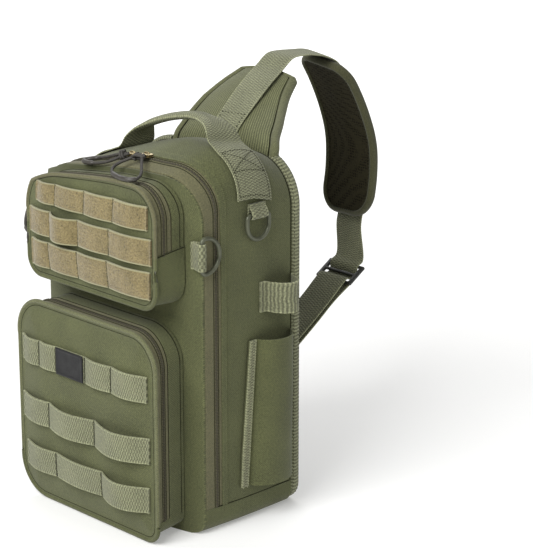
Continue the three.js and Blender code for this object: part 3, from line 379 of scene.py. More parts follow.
# %% Node group helpers
COLOUR, VALUE, PLACE = "NodeSocketColor", "NodeSocketFloat", "NodeSocketVector"
INPUTS = {"Place": (PLACE, None), "Colour": (COLOUR, (0.1, 0.1, 0.05, 1)), "Edge": (VALUE, FAR_FROM_EDGE),
          "Wear": (VALUE, 0.25)}
OUTPUTS = {"Colour": COLOUR, "Roughness": VALUE, "Height": VALUE}


def new_group(name, inputs, outputs):
    """A node group with named sockets: its tree, what it is given and what it sends out."""
    group = bpy.data.node_groups.new(name, "ShaderNodeTree")
    for socket, (kind, value) in inputs.items():
        made = group.interface.new_socket(name=socket, in_out="INPUT", socket_type=kind)
        if value is not None:
            made.default_value = value
    for socket, kind in outputs.items():
        group.interface.new_socket(name=socket, in_out="OUTPUT", socket_type=kind)
    return group, group.nodes.new("NodeGroupInput").outputs, group.nodes.new("NodeGroupOutput").inputs


def node(tree, kind, links=None, **settings):
    """A node with its settings; links gives sockets by name or number, as values or as other sockets."""
    made = tree.nodes.new(kind)
    for key, value in settings.items():
        setattr(made, key, value)
    for socket, value in (links or {}).items():
        if isinstance(value, bpy.types.NodeSocket):
            tree.links.new(value, made.inputs[socket])
        else:
            made.inputs[socket].default_value = value
    return made


def maths(tree, operation, *values):
    return node(tree, "ShaderNodeMath", dict(enumerate(values)), operation=operation).outputs[0]


def times(tree, a, b):
    return maths(tree, "MULTIPLY", a, b)


def blend_colour(tree, share, a, b):
    return node(tree, "ShaderNodeMix", {0: share, 6: a, 7: b}, data_type="RGBA").outputs[2]


def spread(tree, value, low, high, to_low=0.0, to_high=1.0):
    return node(tree, "ShaderNodeMapRange", {0: value, 1: low, 2: high, 3: to_low, 4: to_high}).outputs[0]


def clouds(tree, place, scale, detail=2.0, rough=0.5):
    """Noise from 0 to 1; the scale is in waves for each millimetre."""
    links = {"Vector": place, "Scale": scale, "Detail": detail, "Roughness": rough}
    return node(tree, "ShaderNodeTexNoise", links).outputs[0]


def shaded(tree, colour, value):
    return node(tree, "ShaderNodeHueSaturation", {"Color": colour, "Value": value}).outputs[0]


# %% Wash of wear and dust
wash, given, out = new_group("wear_and_dust", INPUTS, {"Colour": COLOUR})
cloud = clouds(wash, given["Place"], 0.021, 3.0, 0.6)
speck = clouds(wash, given["Place"], 0.55)
shade = maths(wash, "ADD", spread(wash, cloud, 0.3, 0.7, -0.5, 0.5), spread(wash, speck, 0.3, 0.7, -0.8, 0.8))
worn = times(wash, spread(wash, given["Edge"], 2.2, 0.0), spread(wash, speck, 0.35, 0.6))
tint = times(wash, maths(wash, "ADD", shade, worn), given["Wear"])
wash.links.new(shaded(wash, given["Colour"], maths(wash, "ADD", tint, 1.0)), out["Colour"])


def finish_group(tree, given, out, height, tones, rough):
    """Wears the colour, darkens it between the threads and lightens it on their tops as painted shade and
    light, and sends the results out.
    """
    aged = node(tree, "ShaderNodeGroup", {key: given[key] for key in INPUTS}, node_tree=wash).outputs[0]
    tree.links.new(shaded(tree, aged, spread(tree, height, *tones)), out["Colour"])
    tree.links.new(spread(tree, height, *rough), out["Roughness"])
    tree.links.new(height, out["Height"])


# %% Plain weave
weave, given, out = new_group("plain_weave", {**INPUTS, "Thread": (VALUE, 1.1)}, OUTPUTS)
split = node(weave, "ShaderNodeSeparateXYZ", {0: given["Place"]}).outputs
turns = [times(weave, maths(weave, "DIVIDE", split[k], given["Thread"]), math.pi) for k in range(2)]
warp, weft = (maths(weave, "SINE", turn) for turn in turns)
slub = clouds(weave, given["Place"], 0.8)
height = maths(weave, "ADD", times(weave, times(weave, warp, weft), 0.5), slub)
finish_group(weave, given, out, height, (-0.1, 1.0, 0.72, 1.18), (0.0, 1.0, 0.92, 0.72))

# %% Ribbed webbing
RIB_INPUTS = {**INPUTS, "Rib": (VALUE, 2.7), "Stagger": (VALUE, 1.0)}
ribs, given, out = new_group("ribbed_webbing", RIB_INPUTS, OUTPUTS)
split = node(ribs, "ShaderNodeSeparateXYZ", {0: given["Place"]}).outputs
along, across = (maths(ribs, "DIVIDE", split[k], given["Rib"]) for k in range(2))
columns = maths(ribs, "SINE", times(ribs, across, 0.8 * math.pi))
stagger = times(ribs, spread(ribs, columns, -0.3, 0.3, -math.pi / 2, math.pi / 2), given["Stagger"])
rib = maths(ribs, "SINE", maths(ribs, "ADD", times(ribs, along, 2 * math.pi), stagger))
yarn = clouds(ribs, given["Place"], 0.9)
selvedge = spread(ribs, given["Edge"], 1.6, 0.4)
height = maths(ribs, "ADD", maths(ribs, "ADD", times(ribs, rib, 0.5), yarn), times(ribs, selvedge, 0.4))
finish_group(ribs, given, out, height, (0.0, 1.1, 0.52, 1.3), (0.0, 1.0, 0.9, 0.66))
print("groups", [g.name for g in bpy.data.node_groups])


# %% [markdown]
# Materials. The map in millimetres feeds the weave; hard pieces and the spacer mesh have a grain without
# a direction, so they take the object's own coordinates instead. Each material ends in one Principled shader.

# %% Material maker
BUMP_DEPTH = 0.0006


def material(name, mapped=True, quarter=0, **shader):
    """A new material with its shader settings, a place for each point and its distance from the edge."""
    made = bpy.data.materials.new(name)
    made.use_nodes = True
    tree = made.node_tree
    surface = tree.nodes["Principled BSDF"]
    set_inputs(surface, {key.replace("_", " "): value for key, value in shader.items()})
    if mapped:
        flat = node(tree, "ShaderNodeUVMap", uv_map="cloth").outputs[0]
        turned = {"Vector": flat, "Rotation": (0, 0, quarter * math.pi / 2)}
        place = node(tree, "ShaderNodeMapping", turned).outputs[0]
        edge = node(tree, "ShaderNodeAttribute", attribute_name="edge_mm").outputs["Fac"]
        return made, tree, surface, place, edge
    spot = node(tree, "ShaderNodeTexCoord").outputs["Object"]
    in_mm = node(tree, "ShaderNodeVectorMath", {0: spot, 1: (1 / MM, 1 / MM, 1 / MM)}, operation="MULTIPLY")
    return made, tree, surface, in_mm.outputs[0], None


def connect(tree, surface, colour, roughness, height, bump):
    tree.links.new(colour, surface.inputs["Base Color"])
    tree.links.new(roughness, surface.inputs["Roughness"])
    relief = node(tree, "ShaderNodeBump", {"Strength": bump, "Distance": BUMP_DEPTH, "Height": height})
    tree.links.new(relief.outputs[0], surface.inputs["Normal"])


SHEEN = {"Sheen_Weight": 0.12, "Sheen_Roughness": 0.6, "Specular_IOR_Level": 0.25}


def cloth(name, colour, group=weave, bump=0.4, quarter=0, shader=SHEEN, **values):
    """A woven finish: one of the groups with its values, in front of a shader."""
    made, tree, surface, place, edge = material(name, quarter=quarter, **shader)
    values = {"Place": place, "Edge": edge, "Colour": (*colour, 1), **values}
    effect = node(tree, "ShaderNodeGroup", values, node_tree=group).outputs
    connect(tree, surface, effect["Colour"], effect["Roughness"], effect["Height"], bump)
    return made


# %% Cloth, webbing and thread
OLIVE, OLIVE_WEB = (0.085, 0.092, 0.035), (0.205, 0.212, 0.122)
DULL = {"Specular_IOR_Level": 0.1}
THREAD_SHINE = {"Specular_IOR_Level": 0.3}
olive_cloth = cloth("olive_cloth", OLIVE, Wear=0.3)
olive_pad_cloth = cloth("olive_pad_cloth", OLIVE, Wear=0.22)
# The yoke's ribbed cloth gets a lighter tone as painted light, since the yoke leans back from the key.
yoke_cloth_painted_lighter = cloth("yoke_cloth_painted_lighter", (0.130, 0.137, 0.063), ribs, quarter=1, Rib=2.6, Stagger=0.1, Wear=0.25)
olive_webbing = cloth("olive_webbing", OLIVE_WEB, ribs, 0.8, Wear=0.3)
rod_elastic = cloth("rod_elastic", OLIVE_WEB, ribs, 1.0, Rib=4.2, Stagger=0.25, Wear=0.35)
back_webbing = cloth("back_webbing", OLIVE_WEB, ribs, 1.0, Rib=3.4, Stagger=0.3, Wear=0.3)
pad_edge_cloth = cloth("pad_edge_cloth", (0.054, 0.054, 0.022), Wear=0.35)
binding_cloth = cloth("binding_cloth", (0.125, 0.130, 0.062), Wear=0.3)
seam_shadow = cloth("seam_shadow", (0.022, 0.023, 0.012), shader=DULL, Thread=0.5)
zipper_tape = cloth("zipper_tape", (0.122, 0.116, 0.057), Thread=0.9, Wear=0.25)
# The thread is darker than the cloth: partly its own dark olive, partly painted shade that makes the stitch
# lines read dark.
olive_thread_painted_darker = cloth("olive_thread_painted_darker", (0.030, 0.032, 0.015), shader=THREAD_SHINE, Thread=0.4)
pale_thread = cloth("pale_thread", (0.27, 0.28, 0.17), shader=THREAD_SHINE, Thread=0.4)
coil_nylon = cloth("coil_nylon", (0.075, 0.067, 0.044), bump=0.2, shader={}, Thread=0.6, Wear=0.3)
print("cloth finishes made")

# %% Loop pile, spacer mesh and the hard finishes
TAN, PILE_EDGE = (0.198, 0.158, 0.073, 1), (0.29, 0.275, 0.155, 1)
# The second colour here is painted shade for the holes of the spacer mesh, not a colour of the yarn.
KNIT, HOLE_SHADE = (0.026, 0.023, 0.012, 1), (0.006, 0.005, 0.003, 1)


def pile_material():
    """Tan loop pile: fuzzy, darker between the loops as painted shade, lighter along the woven edges."""
    shine = {"Sheen_Weight": 0.35, "Sheen_Roughness": 0.5, **DULL}
    made, tree, surface, place, edge = material("tan_loop_pile", **shine)
    fuzz = clouds(tree, place, 0.5, 4.0, 0.75)
    loops = node(tree, "ShaderNodeTexVoronoi", {"Vector": place, "Scale": 0.9}).outputs["Distance"]
    patchy = clouds(tree, place, 0.05)
    height = maths(tree, "SUBTRACT", fuzz, times(tree, loops, 0.45))
    broad = spread(tree, patchy, 0.3, 0.7, 0.85, 1.15)
    value = times(tree, spread(tree, height, -0.05, 0.5, 0.4, 1.4), broad)
    colour = blend_colour(tree, spread(tree, edge, 1.5, 0.9), shaded(tree, TAN, value), PILE_EDGE)
    connect(tree, surface, colour, spread(tree, height, 0.0, 0.6, 0.98, 0.85), height, 1.0)
    return made


def mesh_material():
    """Dark spacer mesh: rows of small holes between knitted bridges; the holes are painted near black as the
    shade inside them.
    """
    made, tree, surface, place, _ = material("spacer_mesh", mapped=False, Specular_IOR_Level=0.05)
    rows = {"Vector": place, "Scale": 0.36, "Randomness": 0.25}
    cells = node(tree, "ShaderNodeTexVoronoi", rows).outputs["Distance"]
    knit = clouds(tree, place, 1.1)
    hole = spread(tree, cells, 0.42, 0.2)
    varied = shaded(tree, blend_colour(tree, hole, KNIT, HOLE_SHADE), spread(tree, knit, 0.3, 0.7, 0.7, 1.3))
    height = maths(tree, "SUBTRACT", times(tree, knit, 0.3), hole)
    connect(tree, surface, varied, spread(tree, hole, 0.0, 1.0, 0.8, 0.95), height, 0.9)
    return made


def hard_material(name, colour, rough, bump, size, **shader):
    """Moulded or metal finish with fine grain and rubbed lighter spots."""
    made, tree, surface, place, _ = material(name, mapped=False, **shader)
    grain = clouds(tree, place, size, 4.0, 0.65)
    broad = clouds(tree, place, 0.12)
    value = times(tree, spread(tree, broad, 0.3, 0.7, 0.8, 1.25), spread(tree, grain, 0.3, 0.7, 0.92, 1.08))
    roughness = spread(tree, broad, 0.3, 0.7, rough - 0.08, rough + 0.1)
    connect(tree, surface, shaded(tree, (*colour, 1), value), roughness, grain, bump)
    return made


tan_pile = pile_material()
spacer_mesh = mesh_material()
moulded_black = hard_material("moulded_black", (0.018, 0.019, 0.015), 0.45, 0.12, 1.4)
patch_rubber = hard_material("patch_rubber", (0.006, 0.006, 0.0065), 0.62, 0.2, 1.0)
cord_sleeve = hard_material("cord_sleeve", (0.050, 0.045, 0.038), 0.42, 0.1, 1.2)
cord_braid_plain = hard_material("cord_braid_plain", (0.042, 0.038, 0.032), 0.62, 0.6, 0.9)
ring_paint = hard_material("ring_paint", (0.090, 0.096, 0.062), 0.38, 0.05, 1.5, Metallic=0.35)
slider_brass = hard_material("slider_brass", (0.36, 0.29, 0.15), 0.32, 0.05, 1.5, Metallic=0.9)
print("finishes", len(bpy.data.materials))


# %% Dressing a piece
def dress(made, finish, slot, *nodes, body="bag"):
    """Gives a piece its finish and body, and hides the plain solids that it stands for; the slot is not used.
    """
    made.data.materials.append(finish)
    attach(made, body)
    if nodes:
        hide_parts(*nodes)
    return made


# %% [markdown]
# Sections and cord pulls. Every wall follows a section, a rounded outline that changes with depth.
# Each zipper slider has a loop of round cord with a knot and, at its tip, a smooth moulded sleeve.
# A curve with a round bevel is the easiest cord: the curve is the centre line, so its length can be measured.

# %% Body and pocket sections
UPPER = {
    "edge_cloth": zipper_tape, "front": -93, "crown": 3, "piping": 2.0,
    "zip_from": -88, "coil": -81, "zip_to": -74,
    "face": {"half": 91, "low": 231, "high": 341, "low_radius": 16, "top_radius": 30, "left_top_radius": 46,
             "seam": 280},
    "root": {"half": 95, "low": 229, "high": 345, "low_radius": 18, "top_radius": 32, "left_top_radius": 48,
             "seam": 280},
}
LOWER = {
    "edge_cloth": binding_cloth, "front": -102, "crown": 5, "piping": 2.2,
    "zip_from": -96, "coil": -88, "zip_to": -80,
    "face": {"half": 99, "low": 5.6, "high": 202, "low_radius": 34, "right_radius": 12, "top_radius": 32,
             "seam": 46, "right_seam": 21},
    "root": {"half": 92, "low": 6, "high": 208, "low_radius": 34, "right_radius": 13, "top_radius": 36,
             "seam": 46, "right_seam": 21},
}
COIL = {"half": 2.6, "lift": 1.4}


def body_section(y, lift=0.0):
    """The main compartment's outline at a depth; lift raises its base seam."""
    share = (y - FRONT) / BODY["depth"]
    swell = math.sin(math.pi * share)
    radius = BODY["front_radius"] + (BODY["rear_radius"] - BODY["front_radius"]) * share
    half, high = BODY["half"] + BODY["side_swell"] * swell, BODY["top"] + BODY["top_swell"] * swell
    return {"half": half, "low": 0, "high": high, "low_radius": BODY["base_radius"], "top_radius": radius,
            "seam": BODY["seam"] + lift}


def sewn(y):
    return body_section(y, GAP)


def side_wall(y):
    return body_section(y)["half"]


def pocket_section(pocket, y, lift=0.0):
    section = mix(pocket["face"], pocket["root"], (y - pocket["front"]) / (FRONT - pocket["front"]))
    return {key: value + lift * key.endswith("seam") for key, value in section.items()}


# %% Routes of the cord pulls
CORD_DIAMETER, CORD_POINTS, CORD_ROUND = 3.0, 61, 4
# One side of a hanging pull: how far along, out for the low pull, out for the high pull, and down.
HANGING_HALF = np.array([
    (-1.9, 5.85, 5.85, 4), (-2.4, 5.9, 5.9, 7.5), (-3.4, 5.6, 6, 11), (-5.6, 4.4, 6.1, 16.5),
    (-7.8, 2.8, 6.1, 22), (-9.2, 2.7, 6.1, 27.5), (-9.4, 2.6, 6.1, 33), (-7.4, 2.6, 6.1, 38),
    (-3.8, 2.6, 6.1, 41.5), (0, 2.6, 6.1, 42.4),
])
HANGING_PULL = np.vstack([HANGING_HALF, HANGING_HALF[-2::-1] * (-1, 1, 1, 1)])
MAIN_PULLS = {
    "right": [
        (31.5, -53.2, 361), (29, -57, 360), (25, -62, 357.5), (19, -68, 354), (17, -74, 351),
        (20, -80, 349), (28, -86, 348), (38, -90.5, 348), (48, -92.5, 348), (57, -91.5, 348),
        (61.5, -87, 348.2), (60, -80, 350), (54, -73, 353), (46, -66, 356.5), (40, -60, 359.5),
        (36, -56, 361), (34.5, -53.2, 361),
    ],
    "left": [
        (11.5, -54, 359), (5, -57, 357.5), (-3, -58, 355), (-12, -57, 352), (-22, -57, 349.5),
        (-32, -58, 347), (-38, -61, 345.5), (-39, -65, 345), (-34, -68, 345), (-26, -68.5, 345.5),
        (-17, -67.5, 346.5), (-8, -65.5, 348.5), (0, -62, 351.5), (7, -58, 355.5), (14.5, -54, 359),
    ],
}
MAIN_SLIDERS = {"right": 33, "left": 13}
SIDE_SLIDER_STEP = 14
PULL_HEIGHTS = {"upper": 293, "lower": 72}
SIDE_PULLS = [
    (pocket_name, pocket, order, place)
    for pocket_name, pocket in (("upper", UPPER), ("lower", LOWER))
    for order, place in enumerate(("low", "high"))
]


def hanging_route(pocket, name, order):
    """Where a pull hangs on a pocket's left side; the high one lies over the low one."""
    wall = -(pocket_section(pocket, pocket["coil"])["half"] + COIL["lift"] + GAP)
    seat = np.array([wall, pocket["coil"], PULL_HEIGHTS[name] + order * SIDE_SLIDER_STEP])
    along, near, over, down = HANGING_PULL.T
    route = np.column_stack([seat[0] - (near, over)[order], seat[1] + along, seat[2] - down])
    return seat, route + settle(seat)


# %% Cord pulls
SLEEVE = {"share": 0.3, "radius": 2.35, "count": 34, "over": 0.05, "ease": 6, "sides": 12}
KNOT = {"from_end": 3, "aim": 6, "turns": 2.4, "half_length": 2.7, "radius": 1.3, "over": 0.5, "count": 44}


def knot(name, path):
    """Cord wound round both strands of a pull, close to its slider."""
    first, second = path[KNOT["from_end"]], path[-1 - KNOT["from_end"]]
    axis = unit(path[KNOT["aim"]] + path[-1 - KNOT["aim"]] - path[0] - path[-1])
    apart = first - second
    wide = unit(apart - axis * (apart @ axis))
    high = np.cross(axis, wide)
    turn = np.linspace(-0.5, 0.5, KNOT["count"])
    angle = 2 * np.pi * KNOT["turns"] * turn
    high_radius = CORD_DIAMETER / 2 + KNOT["over"]
    wide_radius = np.linalg.norm(apart) / 2 + high_radius
    wound = np.outer(np.cos(angle) * wide_radius, wide) + np.outer(np.sin(angle) * high_radius, high)
    wound = (first + second) / 2 + wound + np.outer(turn * 2 * KNOT["half_length"], axis)
    return tube(name, wound, KNOT["radius"])


def sleeve_on(name, path):
    """A moulded sleeve round the tip of a pull, narrower at its two ends."""
    half, reach = len(path) // 2, int(len(path) * SLEEVE["share"] / 2)
    tip = spaced(path[half - reach:half + reach + 1], SLEEVE["count"])
    ease = np.minimum(1, np.sin(np.linspace(0, np.pi, SLEEVE["count"])) * SLEEVE["ease"])
    radius = CORD_DIAMETER / 2 + SLEEVE["over"] + (SLEEVE["radius"] - CORD_DIAMETER / 2) * ease
    return tube(name, tip, radius, SLEEVE["sides"])


def cord_pull(name, route, node_name):
    """A loop of cord as a bevelled curve, with its sleeve and its knot."""
    path = curve(route, CORD_POINTS)
    data = bpy.data.curves.new(name, "CURVE")
    data.dimensions = "3D"
    data.bevel_depth = CORD_DIAMETER / 2 * MM
    data.bevel_resolution = CORD_ROUND
    data.use_fill_caps = True
    spline = data.splines.new("POLY")
    spline.points.add(len(path) - 1)
    spline.points.foreach_set("co", np.column_stack([path * MM, np.ones(len(path))]).ravel())
    loop = dress(add(name, data), cord_braid_plain, "cord", node_name)
    sleeve = dress(sleeve_on(name + "_sleeve", path), cord_sleeve, "cord")
    tied = dress(knot(name + "_knot", path), cord_braid_plain, "cord")


for side, route in MAIN_PULLS.items():
    cord_pull(f"cord_main_{side}", route, f"main_pull_{side}")
for pocket_name, pocket, order, place in SIDE_PULLS:
    route = hanging_route(pocket, pocket_name, order)[1]
    cord_pull(f"cord_{pocket_name}_{place}", route, f"{pocket_name}_pull_{place}")

# %% [markdown]
# Walls of the bag. Side walls are bands of cloth that run round an outline, and flat walls fill one.
# A little noise along the normals gives the slack of sewn nylon; it fades at the seams, so edges still meet.

# %% Bands round an outline
def run_of(first, last):
    return np.arange(first, last + 1) % AROUND


ARCH, WHOLE = run_of(SEAM_POINT, ARCH_END), run_of(0, AROUND - 1)
TRAY = run_of(ARCH_END, AROUND + SEAM_POINT)


def band_grid(depths, section_at, run, offset):
    """Points round an outline at several depths, moved out by an offset; a depth may vary along its row."""
    columns = []
    for y in depths:
        line = outline(section_at(float(np.mean(y))))
        columns.append(at_depth((line + outwards(line) * offset)[run], y))
    return np.stack(columns, 1)


def slack(grid, amount, size, seed, wrap=False):
    """Soft waves along the normals of a grid that fade towards its side edges."""
    fade = np.sin(np.linspace(0, np.pi, grid.shape[1])) ** 0.6
    waves = 0.7 * noise_at(grid, size, seed) + 0.3 * noise_at(grid, size / 3, seed + 5)
    return grid_normals(grid, wrap) * (amount * waves * fade)[..., None]


def band(name, depths, section_at, run, wave=None, wrap=False, lift=0.0, thickness=CLOTH):
    """Cloth round an outline; wave gives the amount, size and seed of its slack."""
    outer = band_grid(depths, section_at, run, lift)
    inner = band_grid(depths, section_at, run, lift - thickness)
    shift = slack(outer, *wave, wrap) if wave else 0
    return soft_sheet(name, outer + shift, inner + shift, wrap)


# %% Stitches and painted seam shadows
STITCH = {"pitch": 3.6, "size": (1.25, 0.42, 0.4)}
SHADOW_LINE = {"radius": 0.5, "sides": 6}


def stitch(name, path, up, finish, slot, pitch=STITCH["pitch"]):
    """A row of stitches along a path of settled points, with the way up at each point."""
    count = max(3, int(length_of(path) / pitch))
    both = spaced(np.hstack([path, up]), count)
    centres, ups = both[:, :3], unit(both[:, 3:])
    made = beads(name, centres, unit(np.gradient(centres, axis=0)), ups, *STITCH["size"])
    return dress(made, finish, slot)


def seam_shadow_line(name, path, slot, radius=SHADOW_LINE["radius"]):
    """Painted shadow along a seam: a thin dark tube, half sunk in the cloth, that stands in for the shade in
    the seam's crease.
    """
    return dress(tube(name, path, radius, SHADOW_LINE["sides"]), seam_shadow, slot)


def band_line(y, section_at, run, lift=0.0):
    line = outline(section_at(y))
    return settled(at_depth((line + outwards(line) * lift)[run], y))


# %% Panels that fill an outline
RIM, CROWN_REACH = 4.0, 40.0


def half_at(section, z, right):
    """Half the width of an outline at a height, on its right or left side."""
    low_radius = np.where(right, section.get("right_radius", section["low_radius"]), section["low_radius"])
    top_radius = np.where(right, section["top_radius"], section.get("left_top_radius", section["top_radius"]))
    short = lambda radius, depth: np.clip(radius - depth, 0, radius)
    rise = lambda radius, depth: radius - np.sqrt(np.maximum(radius ** 2 - short(radius, depth) ** 2, 0))
    return section["half"] - rise(low_radius, z - section["low"]) - rise(top_radius, section["high"] - z)


def swell_at(section, x, z):
    """How full a panel is at a place: 0 at its rim and 1 well inside."""
    side = half_at(section, z, x > 0) - np.abs(x)
    inset = np.minimum(np.minimum(side, z - section["low"]), section["high"] - z) - RIM
    return np.sin(np.pi / 2 * np.clip(inset / CROWN_REACH, 0, 1))


def panel_places(section, rows, columns):
    """Places in x and z that fill an outline, closer together near its rim."""
    ease = lambda count: (1 - np.cos(np.linspace(0, np.pi, count))) / 2
    even = lambda count: np.linspace(0, 1, count)
    z = section["low"] + (section["high"] - section["low"]) * (0.6 * ease(rows) + 0.4 * even(rows))
    share = 2 * (0.5 * ease(columns) + 0.5 * even(columns)) - 1
    right, left = (half_at(section, z, side)[:, None] for side in (True, False))
    return share[None] * np.where(share[None] > 0, right, left), np.repeat(z[:, None], columns, 1)


def upright(x, y, z):
    """A grid of points from places in x and z at given depths."""
    return np.stack([x, np.broadcast_to(y, x.shape), z], -1)


# %% Main compartment
FRONT_DENT = {"size": 55, "seed": 3, "depth": 1.6}
BASE_SEAM = {"points": 40, "rear": 3, "out": 0.1, "up": 0.2}
x, z = panel_places(body_section(FRONT), 72, 61)
wall = upright(x, FRONT, z)
dent = np.abs(noise_at(wall, FRONT_DENT["size"], FRONT_DENT["seed"])) * FRONT_DENT["depth"]
dent = np.multiply.outer(dent * swell_at(body_section(FRONT), x, z), (0, 1, 0))
front_wall = sheet("cloth_front_wall", settled(wall) + dent, settled(wall) + dent + (0, CLOTH, 0))
dress(front_wall, olive_cloth, "fabric", "main_front_panel")
gusset_depths = np.linspace(BODY["zip_to"] + GAP, BACK - GAP, 34)
gusset = band("cloth_main_gusset", gusset_depths, sewn, ARCH, (1.5, 70, 2))
dress(gusset, olive_cloth, "fabric", "main_gusset")
tray_depths = np.linspace(FRONT + CLOTH + GAP, BACK - GAP, 30)
tray = band("cloth_main_base", tray_depths, body_section, TRAY)
dress(tray, olive_cloth, "fabric", "main_base")
# Painted shadow lines along the base seams on both sides.
depth = np.linspace(BODY["coil"], BACK - BASE_SEAM["rear"], BASE_SEAM["points"])
reach = np.array([side_wall(y) for y in depth]) + BASE_SEAM["out"]
for side, sign in SIDES:
    path = np.column_stack([sign * reach, depth, np.full(len(depth), BODY["seam"] + BASE_SEAM["up"])])
    seam_shadow_line(f"seam_base_{side}", settled(path), "fabric")
print("main compartment", len(gusset.data.polygons), "faces in the gusset")


# %% [markdown]
# Zippers. A zipper is two woven tapes with a nylon coil between them. The tapes are bands like the walls;
# the coil is a row of small teeth, set across the tapes at an even pitch, which catches the light
# as the real one does.

# %% Zipper maker
TOOTH = {"pitch": 1.7, "size": (1.6, 0.6, 1.2), "shift": 0.35}
TAPE = {"lift": -0.1, "thickness": 1.4, "coil_seam": 2.7, "rear_seam": 0.6, "seam_radius": 0.4}


def zipper(name, node_name, zip_from, coil, zip_to, section_at, run):
    """Two tapes as one band, a row of teeth over them and a painted shadow line along each seam."""
    front, rear = coil - COIL["half"], coil + COIL["half"]
    depths = [*np.linspace(zip_from, front, 6), coil, *np.linspace(rear, zip_to, 5)]
    tape = band(f"tape_{name}", depths, section_at, run, lift=TAPE["lift"], thickness=TAPE["thickness"])
    dress(tape, zipper_tape, "zipper_tape", node_name)
    line = outline(section_at(coil))
    path, up = at_depth(line[run], coil), at_depth(outwards(line)[run], 0)
    both = spaced(np.hstack([settled(path), up]), int(length_of(path) / TOOTH["pitch"]))
    across = np.tile((0.0, 1.0, 0.0), (len(both), 1))
    across[::2, 1] = -1
    centres = both[:, :3] + across * TOOTH["shift"]
    teeth = beads(f"coil_{name}", centres, across, unit(both[:, 3:]), *TOOTH["size"])
    dress(teeth, coil_nylon, "zipper_tape")
    seams = {"coil_front": coil - TAPE["coil_seam"], "coil_rear": coil + TAPE["coil_seam"],
             "rear": zip_to - TAPE["rear_seam"]}
    for place, y in seams.items():
        seam_shadow_line(f"seam_{name}_{place}", band_line(y, section_at, run), "zipper_tape", TAPE["seam_radius"])
    print(name, "zipper", len(both), "teeth")


# %% Main zipper and its flap
FLAP = {"points": (20, 60), "front": (-44.6, -41.5), "rear": 0.6, "lift": 0.9, "thickness": 0.9}
zipper("main", "main_zipper", BODY["zip_from"], BODY["coil"], BODY["zip_to"], sewn, ARCH)
from_top = np.abs(np.arange(len(ARCH)) - len(ARCH) / 2)
flap_front = np.interp(from_top, FLAP["points"], FLAP["front"])
flap_depths = np.linspace(flap_front, BODY["zip_to"] + FLAP["rear"], 6)
flap = band("cloth_zipper_flap", flap_depths, sewn, ARCH, lift=FLAP["lift"], thickness=FLAP["thickness"])
dress(flap, olive_cloth, "fabric")


# %% [markdown]
# Front pockets. Each pocket is a crowned front panel, a corded edge, a zipped side wall and a folded bottom.
# The crown and the slight dents make it look filled without hiding the flat rows sewn on it.

# %% Pocket maker
POCKET = {"under_piping": 1.4, "dent_size": 38, "dent": 1.1, "piping_out": 0.6, "piping_sides": 12,
          "seam_in": 1.0, "seam_sunk": 0.1, "seam_radius": 0.36, "root_seam": 4.0, "floor_over": 0.5}
SIDE_SLACK, FLOOR_SLACK = (0.8, 40), (0.5, 40)


def pocket_face(pocket, x, z):
    return pocket["front"] - pocket["crown"] * swell_at(pocket["face"], x, z)


def grown(section, by):
    """The same rounded outline, larger all round."""
    wider = {key: value + by for key, value in section.items()}
    return {**wider, "low": section["low"] - by}


def pocket_front(name, pocket, seed):
    """The crowned panel, its corded edge and a painted shadow line along the seam inside it."""
    face, edge_y = pocket["face"], pocket["front"] + CLOTH
    x, z = panel_places(grown(face, POCKET["under_piping"]), 66, 61)
    front = upright(x, pocket_face(pocket, x, z), z)
    dent = np.abs(noise_at(front, POCKET["dent_size"], seed)) * POCKET["dent"]
    front[..., 1] += dent * swell_at(face, x, z)
    panel = soft_sheet(f"cloth_{name}_front", front, upright(x, edge_y, z))
    dress(panel, olive_cloth, "fabric", f"{name}_front")
    line = outline(face)
    edge = line + outwards(line) * (POCKET["piping_out"] + pocket["piping"])
    cord = settled(at_depth(edge, edge_y - CLOTH / 2))
    low_cord = tube(f"piping_{name}", cord[TRAY], pocket["piping"], POCKET["piping_sides"])
    dress(low_cord, olive_cloth, "fabric", f"{name}_piping")
    high_cord = tube(f"piping_{name}_zip", cord[ARCH], pocket["piping"], POCKET["piping_sides"])
    dress(high_cord, pocket["edge_cloth"], "fabric")
    inset = line - outwards(line) * POCKET["seam_in"]
    path = settled(at_depth(inset, pocket_face(pocket, *inset.T) + POCKET["seam_sunk"]))
    seam_shadow_line(f"seam_{name}_front", path[run_of(0, AROUND)], "fabric", POCKET["seam_radius"])


def make_pocket(name, pocket, seed):
    """A pocket: its front, then the walls from the front edge back to the bag, then its zipper."""
    pocket_front(name, pocket, seed)
    section_at = lambda y: pocket_section(pocket, y)
    zip_section = lambda y: pocket_section(pocket, y, GAP)
    lip = np.linspace(pocket["front"] + CLOTH + GAP, pocket["zip_from"], 4)
    dress(band(f"cloth_{name}_lip", lip, section_at, TRAY), olive_cloth, "fabric", f"{name}_gusset")
    dress(band(f"tape_{name}_lip", lip, section_at, ARCH), zipper_tape, "zipper_tape")
    root = np.linspace(pocket["zip_to"], FRONT - 2 * SEAT, 9)
    wall = band(f"cloth_{name}_side", root, section_at, WHOLE, (*SIDE_SLACK, seed + 1), wrap=True)
    dress(wall, olive_cloth, "fabric")
    over = POCKET["floor_over"]
    under = np.linspace(pocket["zip_from"] - over, pocket["zip_to"] + over, 6)
    bottom = band(f"cloth_{name}_floor", under, section_at, TRAY, (*FLOOR_SLACK, seed + 2))
    dress(bottom, olive_cloth, "fabric")
    # A painted shadow line along the seam where the pocket meets the bag.
    seam_shadow_line(f"seam_{name}_root", band_line(FRONT - POCKET["root_seam"], section_at, ARCH), "fabric")
    ends = pocket["zip_from"] + GAP, pocket["coil"], pocket["zip_to"] - GAP
    zipper(name, f"{name}_zipper", *ends, zip_section, ARCH)


# %% Both pockets
FOLD = {"lift": 0.9, "under": 0.1, "rise": 6.0, "columns": 9, "blend": 16, "seam_below": 0.6}


